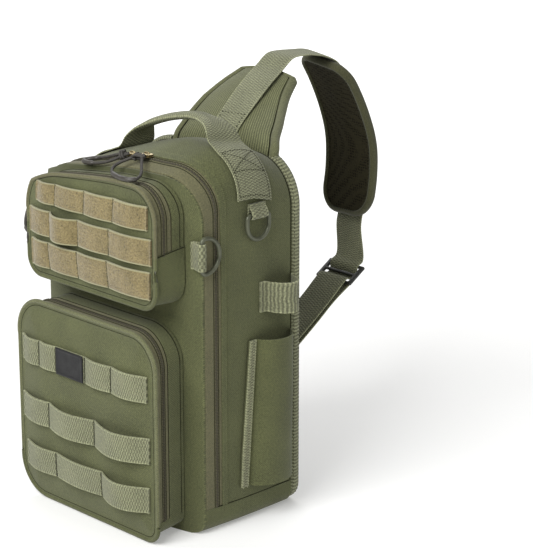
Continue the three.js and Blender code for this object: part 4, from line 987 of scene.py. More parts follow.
def folded_bottom(name, pocket):
    """The piece under the zipper's ends: it wraps the bottom, and its upper edge rises to the rear."""
    section_at = lambda y: pocket_section(pocket, y)
    depths = np.linspace(pocket["front"] + CLOTH + GAP, FRONT - 2 * SEAT, FOLD["columns"])
    grids = [band_grid(depths, section_at, TRAY, lift) for lift in (FOLD["lift"], FOLD["under"])]
    middle = (len(TRAY) - 1) / 2
    near_end = np.clip(1 - (middle - np.abs(np.arange(len(TRAY)) - middle)) / FOLD["blend"], 0, 1)
    for grid in grids:
        grid[..., 2] += FOLD["rise"] * np.outer(near_end, np.linspace(0, 1, FOLD["columns"]))
    dress(soft_sheet(f"cloth_{name}_fold", *grids), olive_cloth, "fabric")
    # Painted shadow lines just under the fold's upper edges.
    for side, end in (("left", 0), ("right", -1)):
        seam_shadow_line(f"seam_{name}_fold_{side}", settled(grids[0][end] - (0, 0, FOLD["seam_below"])), "fabric")


make_pocket("upper_pocket", UPPER, 11)
make_pocket("lower_pocket", LOWER, 21)
folded_bottom("upper_pocket", UPPER)

# %% [markdown]
# Rows across the pockets. The upper three are loop pile, the lower three plain webbing, all tacked down
# at a few places so that cells stay open behind. The strip bows out between two tacks, and each tack is
# a dense zigzag of thread.

# %% Rows and bar tacks
# Each row: its low and high edge, the places of its tacks, and how far each cell bows out.
LOOP_ROWS = {
    "loop_row_top": (305, 328, (-72, -45, -2, 40, 82.5), (2.5, 2.5, 2.5, 2.5)),
    "loop_row_middle": (272, 297.5, (-84, -53, -11, 34, 87), (2, 9, 2.5, 2.5)),
    "loop_row_bottom": (239, 266, (-82, -57, -14, 30, 85), (2, 2.5, 2.5, 2.5)),
}
WEBBING_ROWS = {
    "webbing_row_top": (142, 168, (-90, -62, -36, 8, 46, 89), (3, 2, 0, 3, 3)),
    "webbing_row_middle": (81.5, 107.5, (-92, -49, 20, 91), (3, 8, 9.5)),
    "webbing_row_bottom": (32, 57.5, (-87, -40, 29, 90), (3, 4, 9.5)),
}
ROW = {"end": 3.0, "steps": 22, "fuzz": 0.8, "fuzz_size": 1.9, "fuzz_seed": 31, "woven_edge": 1.2, "rows": 13,
       "fuzzy_rows": 27}
TACK = {"pitch": 0.95, "hem": 1.0, "tilt": 0.35, "lift": 0.35, "sunk": 0.55, "width": 1.1,
        "size": (1.5, 0.4, 0.5)}


def row_places(tacks, bows):
    """Places along a row, and how far the strip bows out at each."""
    share = np.arange(ROW["steps"]) / ROW["steps"]
    places, bow = [tacks[0] - ROW["end"]], [0.0]
    for start, end, amount in zip(tacks, tacks[1:], bows):
        places += list(start + (end - start) * share)
        bow += list(amount * np.sin(np.pi * share))
    return np.array([*places, tacks[-1], tacks[-1] + ROW["end"]]), np.array([*bow, 0.0, 0.0])


def cell_row(name, pocket, low, high, tacks, bows, finish, slot, fuzz):
    """A strip that bows out between its tacks, and the thread of the inner tacks."""
    places, bow = row_places(tacks, bows)
    heights = np.linspace(low, high, ROW["fuzzy_rows"] if fuzz else ROW["rows"])
    x, z = np.meshgrid(places, heights, indexing="ij")
    seat = pocket_face(pocket, x, z) - SEAT - bow[:, None]
    inner = upright(x, seat, z)
    piled = np.minimum(z - low, high - z) > ROW["woven_edge"]
    rise = WEBBING + fuzz * (0.5 + 0.5 * noise_at(inner, ROW["fuzz_size"], ROW["fuzz_seed"])) * piled
    for tack in tacks:
        rise = rise - TACK["sunk"] * np.exp(-((x - tack) / TACK["width"]) ** 2)
    dress(soft_sheet(f"strip_{name}", upright(x, seat - rise, z), inner), finish, slot, name)
    count = int((high - low - 2 * TACK["hem"]) / TACK["pitch"])
    level = np.linspace(low + TACK["hem"], high - TACK["hem"], count)
    at = np.array([(tack, 0, v) for tack in tacks[1:-1] for v in level])
    at[:, 1] = pocket_face(pocket, at[:, 0], at[:, 2]) - SEAT - WEBBING + TACK["lift"]
    tilt = np.where(np.arange(len(at)) % 2 == 0, TACK["tilt"], -TACK["tilt"])
    along = unit(np.column_stack([np.ones(len(at)), np.zeros(len(at)), tilt]))
    out_of_wall = np.tile((0.0, -1.0, 0.0), (len(at), 1))
    dress(beads(f"tacks_{name}", settled(at), along, out_of_wall, *TACK["size"]), olive_thread_painted_darker, slot)
    print(name, len(tacks), "tacks")


for name, row in LOOP_ROWS.items():
    cell_row(name, UPPER, *row, tan_pile, "loop_pile", ROW["fuzz"])
for name, row in WEBBING_ROWS.items():
    cell_row(name, LOWER, *row, olive_webbing, "webbing", 0.0)

# %% [markdown]
# Label patch. A plain moulded patch is sewn on the top webbing row. It is left bare: a raised rim and
# a sunk middle, made as one grid so that the rim is real shape.

# %% Label patch
LABEL = {"x": -14, "z": 155, "width": 40, "height": 27, "thickness": 1.6, "rim": 1.8, "low": 0.9, "step": 0.5}
face_y = LOWER["front"] - LOWER["crown"] - SEAT - WEBBING - GAP
u, v = np.meshgrid(np.linspace(-0.5, 0.5, 41), np.linspace(-0.5, 0.5, 31), indexing="ij")
inset = np.minimum(LABEL["width"] * (0.5 - np.abs(u)), LABEL["height"] * (0.5 - np.abs(v)))
rim_steps = [0, LABEL["step"], LABEL["rim"], LABEL["rim"] + LABEL["step"]]
rise = np.interp(inset, rim_steps, [LABEL["low"], LABEL["thickness"], LABEL["thickness"], LABEL["low"]])
label_x, label_z = LABEL["x"] + LABEL["width"] * u, LABEL["z"] + LABEL["height"] * v
label = soft_sheet("patch_label", upright(label_x, face_y - rise, label_z), upright(label_x, face_y, label_z))
dress(label, patch_rubber, "patch", "label_patch")

# %% [markdown]
# Padded pieces. A foam pad between two cloths swells between its seams. Here a closed sheet is held round
# its rim, then Cloth with a little pressure and no gravity fills it out; a cap limits how far a point moves.

# %% Filling a pad by simulation
FILL = {"pressure": 5.0, "frames": 20}


def keep_result(made, sharp_angle):
    """Replaces the mesh by what its modifiers make of it."""
    bpy.context.view_layer.update()
    graph = bpy.context.evaluated_depsgraph_get()
    shape = made.evaluated_get(graph)
    mesh = bpy.data.meshes.new_from_object(shape, preserve_all_data_layers=True, depsgraph=graph)
    made.modifiers.clear()
    made.data = mesh
    mesh.shade_smooth()
    mesh.set_sharp_from_angle(angle=sharp_angle)


def swell(made, cap):
    """A short cloth simulation with the rim held; no point moves further than the cap."""
    start = points_of(made)
    cloth = made.modifiers.new("fill", "CLOTH")
    cloth.settings.vertex_group_mass = "rim"
    cloth.settings.use_pressure = True
    cloth.settings.uniform_pressure_force = FILL["pressure"]
    cloth.settings.effector_weights.gravity = 0
    for step in range(1, FILL["frames"] + 1):
        SCENE.frame_set(step)
        bpy.context.view_layer.update()
    keep_result(made, PAD_SHARP_ANGLE)
    SCENE.frame_set(1)
    moved = points_of(made) - start
    far = np.linalg.norm(moved, axis=1, keepdims=True)
    print(made.name, "swells up to", round(float(far.max()) / MM, 2), "mm")
    moved *= np.minimum(1, cap * MM / np.maximum(far, 1e-9))
    made.data.vertices.foreach_set("co", (start + moved).ravel())


def fill_pad(made, shape, cap, both=True):
    """Fills a sheet that is sewn round its rim; its inner face stays flat unless both faces swell."""
    rim = np.ones(shape, bool)
    rim[1:-1, 1:-1] = False
    held = np.concatenate([rim.ravel(), rim.ravel() if both else np.ones(rim.size, bool)])
    made.vertex_groups.new(name="rim").add(np.flatnonzero(held).tolist(), 1.0, "REPLACE")
    swell(made, cap)
    made.vertex_groups.clear()
    smoothing = made.modifiers.new("round", "SUBSURF")
    smoothing.levels = smoothing.render_levels = 1
    keep_result(made, PAD_SHARP_ANGLE)
    return made


# %% Padded back
BACK_PAD = {"half": 109, "low": 6, "high": 347.6, "low_radius": 14, "top_radius": 44, "seam": 60}
BACK_FOAM = {"rim": 7, "rim_share": 0.7, "crown": 4, "cap": 2.0, "grid": (60, 49)}
CHANNEL = {"at": (-38, 38), "depth": 3.2, "width": 5.5}
PAD_SEAT = BACK + GAP
x, z = panel_places(BACK_PAD, *BACK_FOAM["grid"])
fullness = swell_at(BACK_PAD, x, z)
rise = BACK_FOAM["rim_share"] * BACK_FOAM["rim"] + BACK_FOAM["crown"] * fullness
for channel in CHANNEL["at"]:
    rise = rise - CHANNEL["depth"] * np.exp(-((x - channel) / CHANNEL["width"]) ** 2) * fullness
back_pad = soft_sheet("pad_back", upright(x, PAD_SEAT + rise, z), upright(x, PAD_SEAT, z))
fill_pad(back_pad, BACK_FOAM["grid"], BACK_FOAM["cap"], both=False)
dress(back_pad, spacer_mesh, "mesh_cloth", "back_panel")

# %% Binding round the back
BINDING = {"clear": 0.6, "thickness": 5, "width": 11, "over": 0.6, "round": 1.24, "yoke_side": -58,
           "past_top": 4}
BINDING_STITCH = {"front": -3.4, "rear": 3.4}
BINDING_STITCH_LIFT, BINDING_PITCH = 2.3, 4.2
EDGE_SEAM = {"ahead": 1.6, "lift": 0.1, "radius": 0.6}
BOUND_SIDES = 14
line = outline(BACK_PAD)
middle = line + outwards(line) * (BINDING["clear"] + BINDING["thickness"] / 2 - BINDING["over"])
shoulder = STEPS["top"] + BINDING["past_top"]
beside_yoke = next(k for k in range(shoulder) if middle[HALF_POINTS + k][0] < BINDING["yoke_side"])
open_run = run_of(HALF_POINTS + beside_yoke, AROUND + HALF_POINTS - shoulder)
tape_path = settled(at_depth(middle[open_run], PAD_SEAT + BINDING["width"] / 2))
deep = np.tile((0.0, 1.0, 0.0), (len(open_run), 1))
flat = BINDING["round"] * BINDING["thickness"] / BINDING["width"]
binding = tube("binding_back", tape_path, BINDING["width"] / 2, BOUND_SIDES, flat=flat, across=deep)
dress(binding, back_webbing, "webbing", "back_binding")
# A painted shadow line along the back edge seam.
edge_line = band_line(BACK - EDGE_SEAM["ahead"], sewn, ARCH, EDGE_SEAM["lift"])
seam_shadow_line("seam_back_edge", edge_line, "fabric", EDGE_SEAM["radius"])
out_way = at_depth(outwards(line)[open_run], 0)
for place, y in BINDING_STITCH.items():
    row = tape_path + out_way * BINDING_STITCH_LIFT + (0, y, 0)
    stitch(f"seam_binding_{place}", row, out_way, olive_thread_painted_darker, "webbing", BINDING_PITCH)

# %% Yoke
YOKE_THICKNESS = 10.0
YOKE = {"grid": (42, 25), "thin_edge": 0.4, "before_fill": 0.9, "cap": 1.5}
YOKE_EDGE = {"out": 1.0, "radius": 5.2, "flat": 0.78, "seam_up": 4.1, "seam_in": -3.4}
YOKE_TOP = {"reach": 1.05, "out": 1.0, "radius": 5.0, "flat": 0.5}
# Each row of the yoke: y, z and x of its middle, half its width, droop of its sides, x of the strap.
YOKE_ROWS = np.array([
    (69.5, 343.5, 13, 69, 0, 12), (70, 348.2, 13, 68.5, 0, 12), (71.5, 354, 13, 68, 0, 12),
    (80, 363.5, 9.5, 63.5, 2, 11), (96, 376, 3, 58.5, 6, 9), (113, 387, -3, 51.5, 8, 6),
    (129.5, 397, -6, 43.5, 7, 3), (147, 406, -5, 35, 4, 0),
])
X_WAY = np.array([1.0, 0, 0])
yoke_fine = curve(YOKE_ROWS, YOKE["grid"][0])
yoke_middle = yoke_fine[:, (2, 0, 1)]
yoke_along = unit(np.gradient(yoke_middle, axis=0))
yoke_along[0] = (0, 0, 1)
yoke_rise = unit(np.cross(X_WAY, yoke_along))


def yoke_points(share, height, beyond=0.0):
    """Points along the yoke at a share of its half width, a height over its middle and past its edge."""
    points = yoke_middle + yoke_rise * height
    points[:, 0] += share * yoke_fine[:, 3] + np.sign(share) * beyond
    points[:, 2] -= yoke_fine[:, 4] * share * share
    return points


shares = np.linspace(-1, 1, YOKE["grid"][1])
half_thick = YOKE_THICKNESS / 2 * (1 - YOKE["thin_edge"] * np.abs(shares) ** 6) * YOKE["before_fill"]
faces = [np.stack([yoke_points(s, way * h) for s, h in zip(shares, half_thick)], 1) for way in (1, -1)]
yoke = fill_pad(soft_sheet("pad_yoke", *faces), YOKE["grid"], YOKE["cap"])
dress(yoke, yoke_cloth_painted_lighter, "fabric", "yoke")
for side, sign in SIDES:
    path = settled(yoke_points(sign, 0.0, YOKE_EDGE["out"]))
    name = f"binding_yoke_{side}"
    edge = tube(name, path, YOKE_EDGE["radius"], BOUND_SIDES, flat=YOKE_EDGE["flat"], across=yoke_rise)
    dress(edge, binding_cloth, "webbing", f"yoke_binding_{side}")
    # A painted shadow line along the seam beside each yoke edge.
    seam = settled(yoke_points(sign, YOKE_EDGE["seam_up"], YOKE_EDGE["seam_in"]))
    seam_shadow_line(f"seam_yoke_{side}", seam, "fabric")
shares = np.linspace(-YOKE_TOP["reach"], YOKE_TOP["reach"], 25)
top_edge = settled(np.stack([yoke_points(s, 0.0)[-1] for s in shares])) + yoke_along[-1] * YOKE_TOP["out"]
upwards = np.tile(yoke_rise[-1], (len(shares), 1))
top_bound = tube("binding_yoke_top", top_edge, YOKE_TOP["radius"], BOUND_SIDES, flat=YOKE_TOP["flat"],
                 across=upwards)
dress(top_bound, binding_cloth, "webbing")

# %% [markdown]
# Grab handle. One strap of webbing is sewn flat round each shoulder and rolled into a round grip between.
# Sections that change from flat to round, lofted along a smooth path, follow that roll.

# %% Grab handle
HANDLE = {"y": 9.5, "width": 47.0, "seat": 1.9, "lean": -0.16, "rows": 40, "skip": 5, "sides": 28,
          "flat": 0.35, "rolled": (2, 7), "selvedge": 0.93, "inside": 6.0, "left_share": 0.66}
# Each row of the arch: x, z, lean of the section, its width, its thickness, y.
HANDLE_ARCH = [
    (76, 370, -0.16, 44, 2, 12), (71, 378, -0.1, 39, 2.4, 12), (62, 385, -0.05, 29, 4.5, 12),
    (46, 388.5, 0, 19, 7.5, 12), (23, 390, 0, 17, 8, 12), (0, 390.5, 0, 17, 8, 12),
]
SEWN_RIGHT, SEWN_LEFT = np.linspace(-1, 62, 14), np.linspace(-1, 82, 18)
round_angle = 2 * np.pi * np.arange(HANDLE["sides"]) / HANDLE["sides"]


def oval(exponent):
    """A closed section from a flat strap to a round grip, as shares of its width and thickness."""
    c, s = np.cos(round_angle), np.sin(round_angle)
    return np.column_stack([np.sign(c) * np.abs(c) ** exponent, np.sign(s) * np.abs(s) ** exponent]) / 2


def over_shoulder(across, degrees, lift, sign):
    """A point over the bag's rounded shoulder, across the handle and up its curve, and the way out there."""
    y, angle = HANDLE["y"] + across, math.radians(degrees)
    section = body_section(y)
    radius = section["top_radius"]
    way = np.array([sign * math.cos(angle), 0, math.sin(angle)])
    centre = np.array([sign * (section["half"] - radius), y, section["high"] - radius])
    return centre + way * (radius + HANDLE["seat"] + lift), way


def handle_sewn(degrees, sign):
    spots = oval(HANDLE["flat"]) * (HANDLE["width"], WEBBING) + (0, WEBBING / 2)
    return np.array([over_shoulder(across, degrees, lift, sign)[0] for across, lift in spots])


def handle_free(sign, share):
    """Sections from the last sewn one to the middle of the grip."""
    leaving = handle_sewn(SEWN_RIGHT[-1], 1).mean(0)
    first = (leaving[0], leaving[2], HANDLE["lean"], HANDLE["width"], WEBBING, HANDLE["y"])
    rows = curve([first, *HANDLE_ARCH], HANDLE["rows"])[HANDLE["skip"]:]
    along = unit(np.gradient(rows[:, (0, 1)], axis=0))
    sections = []
    for (x, z, lean, width, thick, y), (tx, tz) in zip(rows, along):
        wide = np.array([0, 1, lean]) / math.hypot(1, lean)
        high = unit(np.cross(wide, (tx, 0, tz)))
        shape = oval(np.interp(thick, HANDLE["rolled"], [HANDLE["flat"], 1.0]))
        section = np.outer(shape[:, 0] * width, wide) + np.outer(shape[:, 1] * thick, high)
        sections.append((section + (x, y, z)) * (sign * share, 1, 1))
    return sections


def loft(name, sections):
    rings = np.array(sections)
    count, sides = rings.shape[:2]
    maps = map_of(distances(rings.mean(1)), distances(rings[0]))
    edge = np.tile(np.abs(np.cos(round_angle)) < HANDLE["selvedge"], count) * HANDLE["inside"]
    return turn_out(new_object(name, settled(rings), ring_faces(count, sides), maps, edge))


right = [handle_sewn(d, 1) for d in SEWN_RIGHT] + handle_free(1, 1)
left = [handle_sewn(d, -1) for d in SEWN_LEFT] + handle_free(-1, HANDLE["left_share"])[:-1]
handle = loft("webbing_grab_handle", right + left[::-1])
dress(handle, olive_webbing, "webbing", "grab_handle")
print("handle", len(handle.data.polygons), "faces")

# %% Box stitch on the handle's feet
BOX = {"half": 20.0, "hem": 3.0, "low": 32.0, "high": 60.0}
BOX_STEPS, BOX_PITCH = 16, 3.0
BOX_ROWS = {
    "box": [(-1, "low"), (1, "low"), (1, "high"), (-1, "high"), (-1, "low"), (1, "high"), (1, "low"),
            (-1, "high")],
    "hem": [(-1, "low"), (-1, "hem"), (1, "hem"), (1, "low")],
}


def box_row(corners, sign):
    """Points on the handle's outer face from corner to corner, with the way out at each."""
    spots = []
    for (a, low), (b, high) in zip(corners, corners[1:]):
        for share in np.linspace(0, 1, BOX_STEPS):
            degrees = BOX[low] + (BOX[high] - BOX[low]) * share
            spots.append(over_shoulder(BOX["half"] * (a + (b - a) * share), degrees, WEBBING, sign))
    return (np.array(column) for column in zip(*spots))


for side, sign in SIDES:
    for name, corners in BOX_ROWS.items():
        path, ways = box_row(corners, sign)
        stitch(f"seam_handle_{name}_{side}", settled(path), ways, olive_thread_painted_darker, "webbing", BOX_PITCH)
print("handle stitches at", BOX)

# %% [markdown]
# Rings. Four painted wire rings hang in small webbing loops. Each ring turns on its straight bar,
# so it rides on its own body, while the loop that holds it stays with the bag.

# %% Ring and loop shapes
RING = {"wire": 2.0, "play": 0.5, "corner": 4.0, "points": 90, "sides": 14}
HANDLE_RING = {"width": 28, "height": 24, "y": 13.5, "bar_z": 307.5, "loop_width": 20, "loop_length": 10.5}
SIDE_RING = {"width": 34, "height": 22, "bar_x": 117.6, "z": 279, "loop_width": 26, "loop_length": 13}
LOOP_STACK = SEAT + WEBBING + RING["play"] + RING["wire"]
LOOP_POINTS = 60


def arc(centre, radii, start, end, count):
    angle = np.radians(np.linspace(start, end, count))
    return np.column_stack([centre[0] + radii[0] * np.cos(angle), centre[1] + radii[1] * np.sin(angle)])


def ring_path(size):
    """A ring in its own plane: the bar lies along the first direction and the bow hangs below it."""
    half, corner = size["width"] / 2, RING["corner"]
    flat = min(half - size["height"], -corner)
    path = np.vstack([
        arc((half - corner, -corner), (corner, corner), 90, 0, 8),
        arc((0, flat), (half, size["height"] + flat), 0, -180, 40),
        arc((corner - half, -corner), (corner, corner), 180, 90, 8),
    ])
    return spaced(np.vstack([path, path[:1]]), RING["points"])[:-1]


def loop_path(size):
    """The middle line of webbing folded round a bar: p along the plies and q away from the seat."""
    fold = RING["wire"] + RING["play"] + WEBBING / 2
    second = WEBBING + 2 * GAP - fold
    length = size["loop_length"]
    path = np.vstack([
        [(length, -fold), (length / 2, -fold)],
        arc((0, 0), (fold, fold), 270, 90, 13),
        [(length * 0.45, 0.45 * fold), (length * 0.75, second), (length, second)],
    ])
    return curve(path, LOOP_POINTS)


def strap(name, path, across, width, fixed=None):
    """Flat webbing along a path, thinner at its two edges; fixed gives one settling for the whole piece."""
    along = unit(np.gradient(path, axis=0))
    wide = unit(np.broadcast_to(np.asarray(across, float), path.shape))
    normal = unit(np.cross(along, wide))
    shares = np.linspace(-0.5, 0.5, 11)
    thin = WEBBING / 2 * (1 - 0.5 * np.abs(2 * shares) ** 8)
    middle = path[:, None] + wide[:, None] * (shares * width)[None, :, None]
    lift = normal[:, None] * thin[None, :, None]
    grids = [middle + lift, middle - lift]
    return sheet(name, *[g + (settle(g) if fixed is None else fixed) for g in grids])


def wire_ring(name, path, node_name, body):
    across = np.tile(X_WAY, (len(path), 1))
    made = tube(name, path, RING["wire"], RING["sides"], wrap=True, across=across)
    dress(made, ring_paint, "ring_metal", node_name, body=body)


# %% Rings in their loops
for side, sign in SIDES:
    at = np.array([sign * (side_wall(HANDLE_RING["y"]) + LOOP_STACK), HANDLE_RING["y"], HANDLE_RING["bar_z"]])
    drop = settle(at)
    path = at + drop + np.insert(ring_path(HANDLE_RING), 0, 0, axis=1)
    wire_ring(f"ring_handle_{side}", path, f"handle_ring_{side}", f"{side}_handle_ring")
    p, q = loop_path(HANDLE_RING).T
    path = at + np.column_stack([sign * q, 0 * p, p])
    held = strap(f"loop_handle_{side}", path, (0, 1, 0), HANDLE_RING["loop_width"], drop)
    dress(held, olive_webbing, "webbing", f"handle_loop_{side}")
    at = np.array([sign * SIDE_RING["bar_x"], FRONT - LOOP_STACK, SIDE_RING["z"]])
    drop = settle(at + (0, LOOP_STACK, 0))
    a, b = ring_path(SIDE_RING).T
    path = at + drop + np.column_stack([0 * a, -b, a])
    wire_ring(f"ring_side_{side}", path, f"side_ring_{side}", f"{side}_side_ring")
    p, q = loop_path(SIDE_RING).T
    path = at + np.column_stack([-sign * p, -q, 0 * p])
    on_wall = np.column_stack([path[:, 0], np.full(len(p), FRONT), path[:, 2]])
    held = strap(f"tab_side_{side}", path + settle(on_wall), (0, 0, 1), SIDE_RING["loop_width"], np.zeros(3))
    dress(held, olive_webbing, "webbing", f"side_tab_{side}")

# %% [markdown]
# Side holder. A ribbed elastic loop and a bulged flap of cloth, open at both ends, sit on the right wall.
# Both follow one short section table, from the front seam out and back to the rear seam.

# %% Elastic loop, sleeve and edge
ROD_LOOP = {"front": 19, "rear": 62.5, "low": 209, "high": 239, "reach": 22, "levels": 15, "flare": 0.03}
ROD_SLEEVE = {"front_low": -9, "front_high": 4, "rear": 62.5, "low": 38, "high": 184, "reach": 17,
              "levels": 50, "inner": 0.8}
# Each point of the section: its share of the way from front to rear, and its share of the reach.
ROD_SECTION = curve([
    (0, 0), (0.14, 0), (0.22, 0.4), (0.34, 0.78), (0.48, 0.97), (0.6, 1), (0.73, 0.9), (0.85, 0.6),
    (0.94, 0.12), (1, 0),
], 60)
SLEEVE_SLACK, SLACK_FADE = (0.9, 34, 41), (12, 8)
SLEEVE_EDGE = {"share": 0.13, "columns": 8, "pitch": 4.0, "front": 0.2, "rear": 0.8}


def rod_grid(front_at, rear, levels, reach, section, lift):
    """Points out from the side wall: rows along a section, columns up the levels."""
    rows = []
    for along, out in section:
        y = front_at + (rear - front_at) * along
        x = np.array([side_wall(v) for v in y]) + SEAT + reach * max(out, 0) + lift
        rows.append(np.column_stack([x, y, levels]))
    return np.array(rows)


count = ROD_LOOP["levels"]
levels = np.linspace(ROD_LOOP["low"], ROD_LOOP["high"], count)
reach = ROD_LOOP["reach"] * (1.0 + ROD_LOOP["flare"] * np.cos(np.linspace(0, 2 * np.pi, count)))
front = np.full(count, ROD_LOOP["front"])
grids = [rod_grid(front, ROD_LOOP["rear"], levels, reach, ROD_SECTION, lift) for lift in (CLOTH, 0.0)]
dress(soft_sheet("elastic_rod_loop", *grids), rod_elastic, "webbing", "rod_loop")
count = ROD_SLEEVE["levels"]
levels = np.linspace(ROD_SLEEVE["low"], ROD_SLEEVE["high"], count)
lean = np.linspace(ROD_SLEEVE["front_low"], ROD_SLEEVE["front_high"], count)
sleeve_at = lambda reach, section, lift: rod_grid(lean, ROD_SLEEVE["rear"], levels, reach, section, lift)
grids = [sleeve_at(ROD_SLEEVE["reach"], ROD_SECTION, lift) for lift in (CLOTH, ROD_SLEEVE["inner"])]
step = np.arange(len(ROD_SECTION))
fade = np.clip(step / SLACK_FADE[0], 0, 1) * np.clip((step[-1] - step) / SLACK_FADE[1], 0, 1)
wave = slack(grids[0], *SLEEVE_SLACK) * fade[:, None, None]
rod_sleeve = sheet("cloth_rod_sleeve", *[settled(g) + wave for g in grids])
dress(rod_sleeve, olive_cloth, "fabric", "rod_sleeve")
edge_section = [(share, 0) for share in np.linspace(0, SLEEVE_EDGE["share"], SLEEVE_EDGE["columns"])]
grids = [np.swapaxes(sleeve_at(0, edge_section, CLOTH + GAP + lift), 0, 1) for lift in (WEBBING, 0.0)]
dress(soft_sheet("webbing_sleeve_edge", *grids), olive_webbing, "webbing", "rod_sleeve_edge")
first, last = grids[0][:, 0], grids[0][:, -1]
out_way = np.tile(X_WAY, (count, 1))
for place in ("front", "rear"):
    row = settled(first + (last - first) * SLEEVE_EDGE[place])
    stitch(f"seam_sleeve_{place}", row, out_way, pale_thread, "webbing", SLEEVE_EDGE["pitch"])

# %% [markdown]
# Sling strap. A foam pad with a dark mesh lining is bound round its edge; webbing runs from the yoke over
# its top, and from its lower end through a slide to an anchor low on the back.

# %% Places on the shoulder pad
PAD_ROUTE = [
    (0, 213, 407.5), (1, 229, 384.5), (5, 243, 350.5), (9, 248.5, 321.5), (12, 246.5, 291.5),
    (13, 241, 262.5), (13.5, 237, 245.5),
]
PAD = {"half": 35.5, "mesh": 2.6, "thickness": 11, "twist": 9, "points": 400}
PAD_BINDING = {"clear": 0.5, "thickness": 4.5, "width": 9, "over": 0.9, "extra": 0.4, "flat": 0.62,
               "seam_in": 0.4, "seam_lift": 0.1}
pad_path = curve(PAD_ROUTE, PAD["points"])
PAD_LENGTH = length_of(pad_path)
twist = math.radians(PAD["twist"])
pad_along = unit(np.gradient(pad_path, axis=0))
pad_wide = unit(X_WAY - pad_along * pad_along[:, :1])
pad_wide = pad_wide * math.cos(twist) + np.cross(pad_along, pad_wide) * math.sin(twist)
pad_rise = np.cross(pad_wide, pad_along)


def pad_points(across, distance, height):
    """Places on the pad: across it, along it from the top, and over its inner face."""
    across, distance, height = np.broadcast_arrays(across, distance, height)
    held = np.clip(distance, 0, PAD_LENGTH)
    at = held / PAD_LENGTH * (len(pad_path) - 1)
    look = lambda table: np.stack([np.interp(at, np.arange(len(pad_path)), axis) for axis in table.T], -1)
    aside = look(pad_wide) * across[..., None] + look(pad_rise) * height[..., None]
    return look(pad_path) + look(pad_along) * (distance - held)[..., None] + aside


# %% Shoulder pad, its lining and its binding
PAD_FOAM = {"grid": (44, 25), "cap": 1.6, "rim": 0.5, "crown": 0.36}
LINING = {"rim": 1.6, "crown": 1.8, "under": 0.2}
pad_end = PAD_BINDING["clear"] + PAD_BINDING["thickness"]
pad_section = {"half": PAD["half"], "low": pad_end, "high": PAD_LENGTH - pad_end, "low_radius": 16,
               "top_radius": 22, "seam": 40}
base = PAD["mesh"] + GAP
foam = PAD["thickness"] - base
x, s = panel_places(pad_section, *PAD_FOAM["grid"])
fullness = swell_at(pad_section, x, s)
outer = pad_points(x, s, base + foam * (PAD_FOAM["rim"] + PAD_FOAM["crown"] * fullness))
shoulder_pad = sheet("pad_shoulder", outer, pad_points(x, s, base))
fill_pad(shoulder_pad, PAD_FOAM["grid"], PAD_FOAM["cap"], both=False)
dress(shoulder_pad, olive_pad_cloth, "fabric", "shoulder_pad")
lining_in = pad_points(x, s, LINING["rim"] - LINING["crown"] * fullness)
lining = sheet("mesh_shoulder_pad", pad_points(x, s, base - LINING["under"]), lining_in)
dress(lining, spacer_mesh, "mesh_cloth", "shoulder_pad_mesh")
line = outline(pad_section)
rim = line + outwards(line) * (PAD_BINDING["clear"] + PAD_BINDING["thickness"] / 2 - PAD_BINDING["over"])
half_width = PAD_BINDING["width"] / 2
rim_path = pad_points(*rim.T, half_width)
rise_at = pad_points(*rim.T, half_width + 1) - rim_path
bound = tube("binding_shoulder_pad", rim_path, half_width + PAD_BINDING["extra"], BOUND_SIDES, wrap=True,
             flat=PAD_BINDING["flat"], across=rise_at)
dress(bound, pad_edge_cloth, "webbing", "shoulder_pad_binding")
seam_line = line - outwards(line) * PAD_BINDING["seam_in"]
lift = PAD_BINDING["seam_lift"]
for place, height, way in (("outer", PAD_BINDING["width"] + lift, 1), ("inner", -lift, -1)):
    stitch(f"seam_pad_{place}", pad_points(*seam_line.T, height), rise_at * way, olive_thread_painted_darker, "webbing")

# %% Upper strap
UPPER_WEB_RUN = [(0, 159, 421.5), (0, 174, 422.5), (0, 194, 420.5), (0, 211, 417.5)]
UPPER_WEB = {"first_row": 2, "turn": (185, 212), "on_pad": (4.0, 20.0, 38.0), "seat": 9.95, "points": 150}
rows = YOKE_ROWS[:, (5, 0, 1)]
rows[:, 2] -= YOKE_ROWS[:, 4] * ((YOKE_ROWS[:, 5] - YOKE_ROWS[:, 2]) / YOKE_ROWS[:, 3]) ** 2
row_rise = unit(np.cross(X_WAY, unit(np.gradient(rows, axis=0))))
on_yoke = (rows + row_rise * (YOKE_THICKNESS / 2 + SEAT + WEBBING / 2))[UPPER_WEB["first_row"]:]
on_pad = pad_points(0.0, UPPER_WEB["on_pad"], UPPER_WEB["seat"] + WEBBING / 2)
upper_path = curve(np.vstack([on_yoke, UPPER_WEB_RUN, on_pad]), UPPER_WEB["points"])
turn_share = np.interp(upper_path[:, 1:2], UPPER_WEB["turn"], (0, 1))
upper_across = unit(X_WAY * (1 - turn_share) + pad_wide[0] * turn_share)
upper_web = strap("webbing_strap_upper", upper_path, upper_across, STRAP_WIDTH)
dress(upper_web, olive_webbing, "webbing", "strap_web_upper")

# %% Lower strap, through the slide and round the anchor
LOWER_WEB = {"on_pad": (24, 8), "seat": 10.4, "past_pad": 9, "ply_drop": (0, 3.4, -3.8), "end": (-7, -5),
             "points": 420}
LOWER_WEB_RUN = np.array([
    (35, 181, 173.8), (32, 160, 155.5), (28.5, 139, 137.5), (25, 119, 120), (22, 102, 104.5), (20.5, 93, 96),
])
SLIDE = {"at": (36.0, 212, 192.5), "width": 49, "length": 26, "thickness": 3.5, "bar": 3, "slot": 39.6,
         "pitch": 32}
ANCHOR = {"x": 20, "width": 45, "slot": 39.6, "thickness": 3.5}
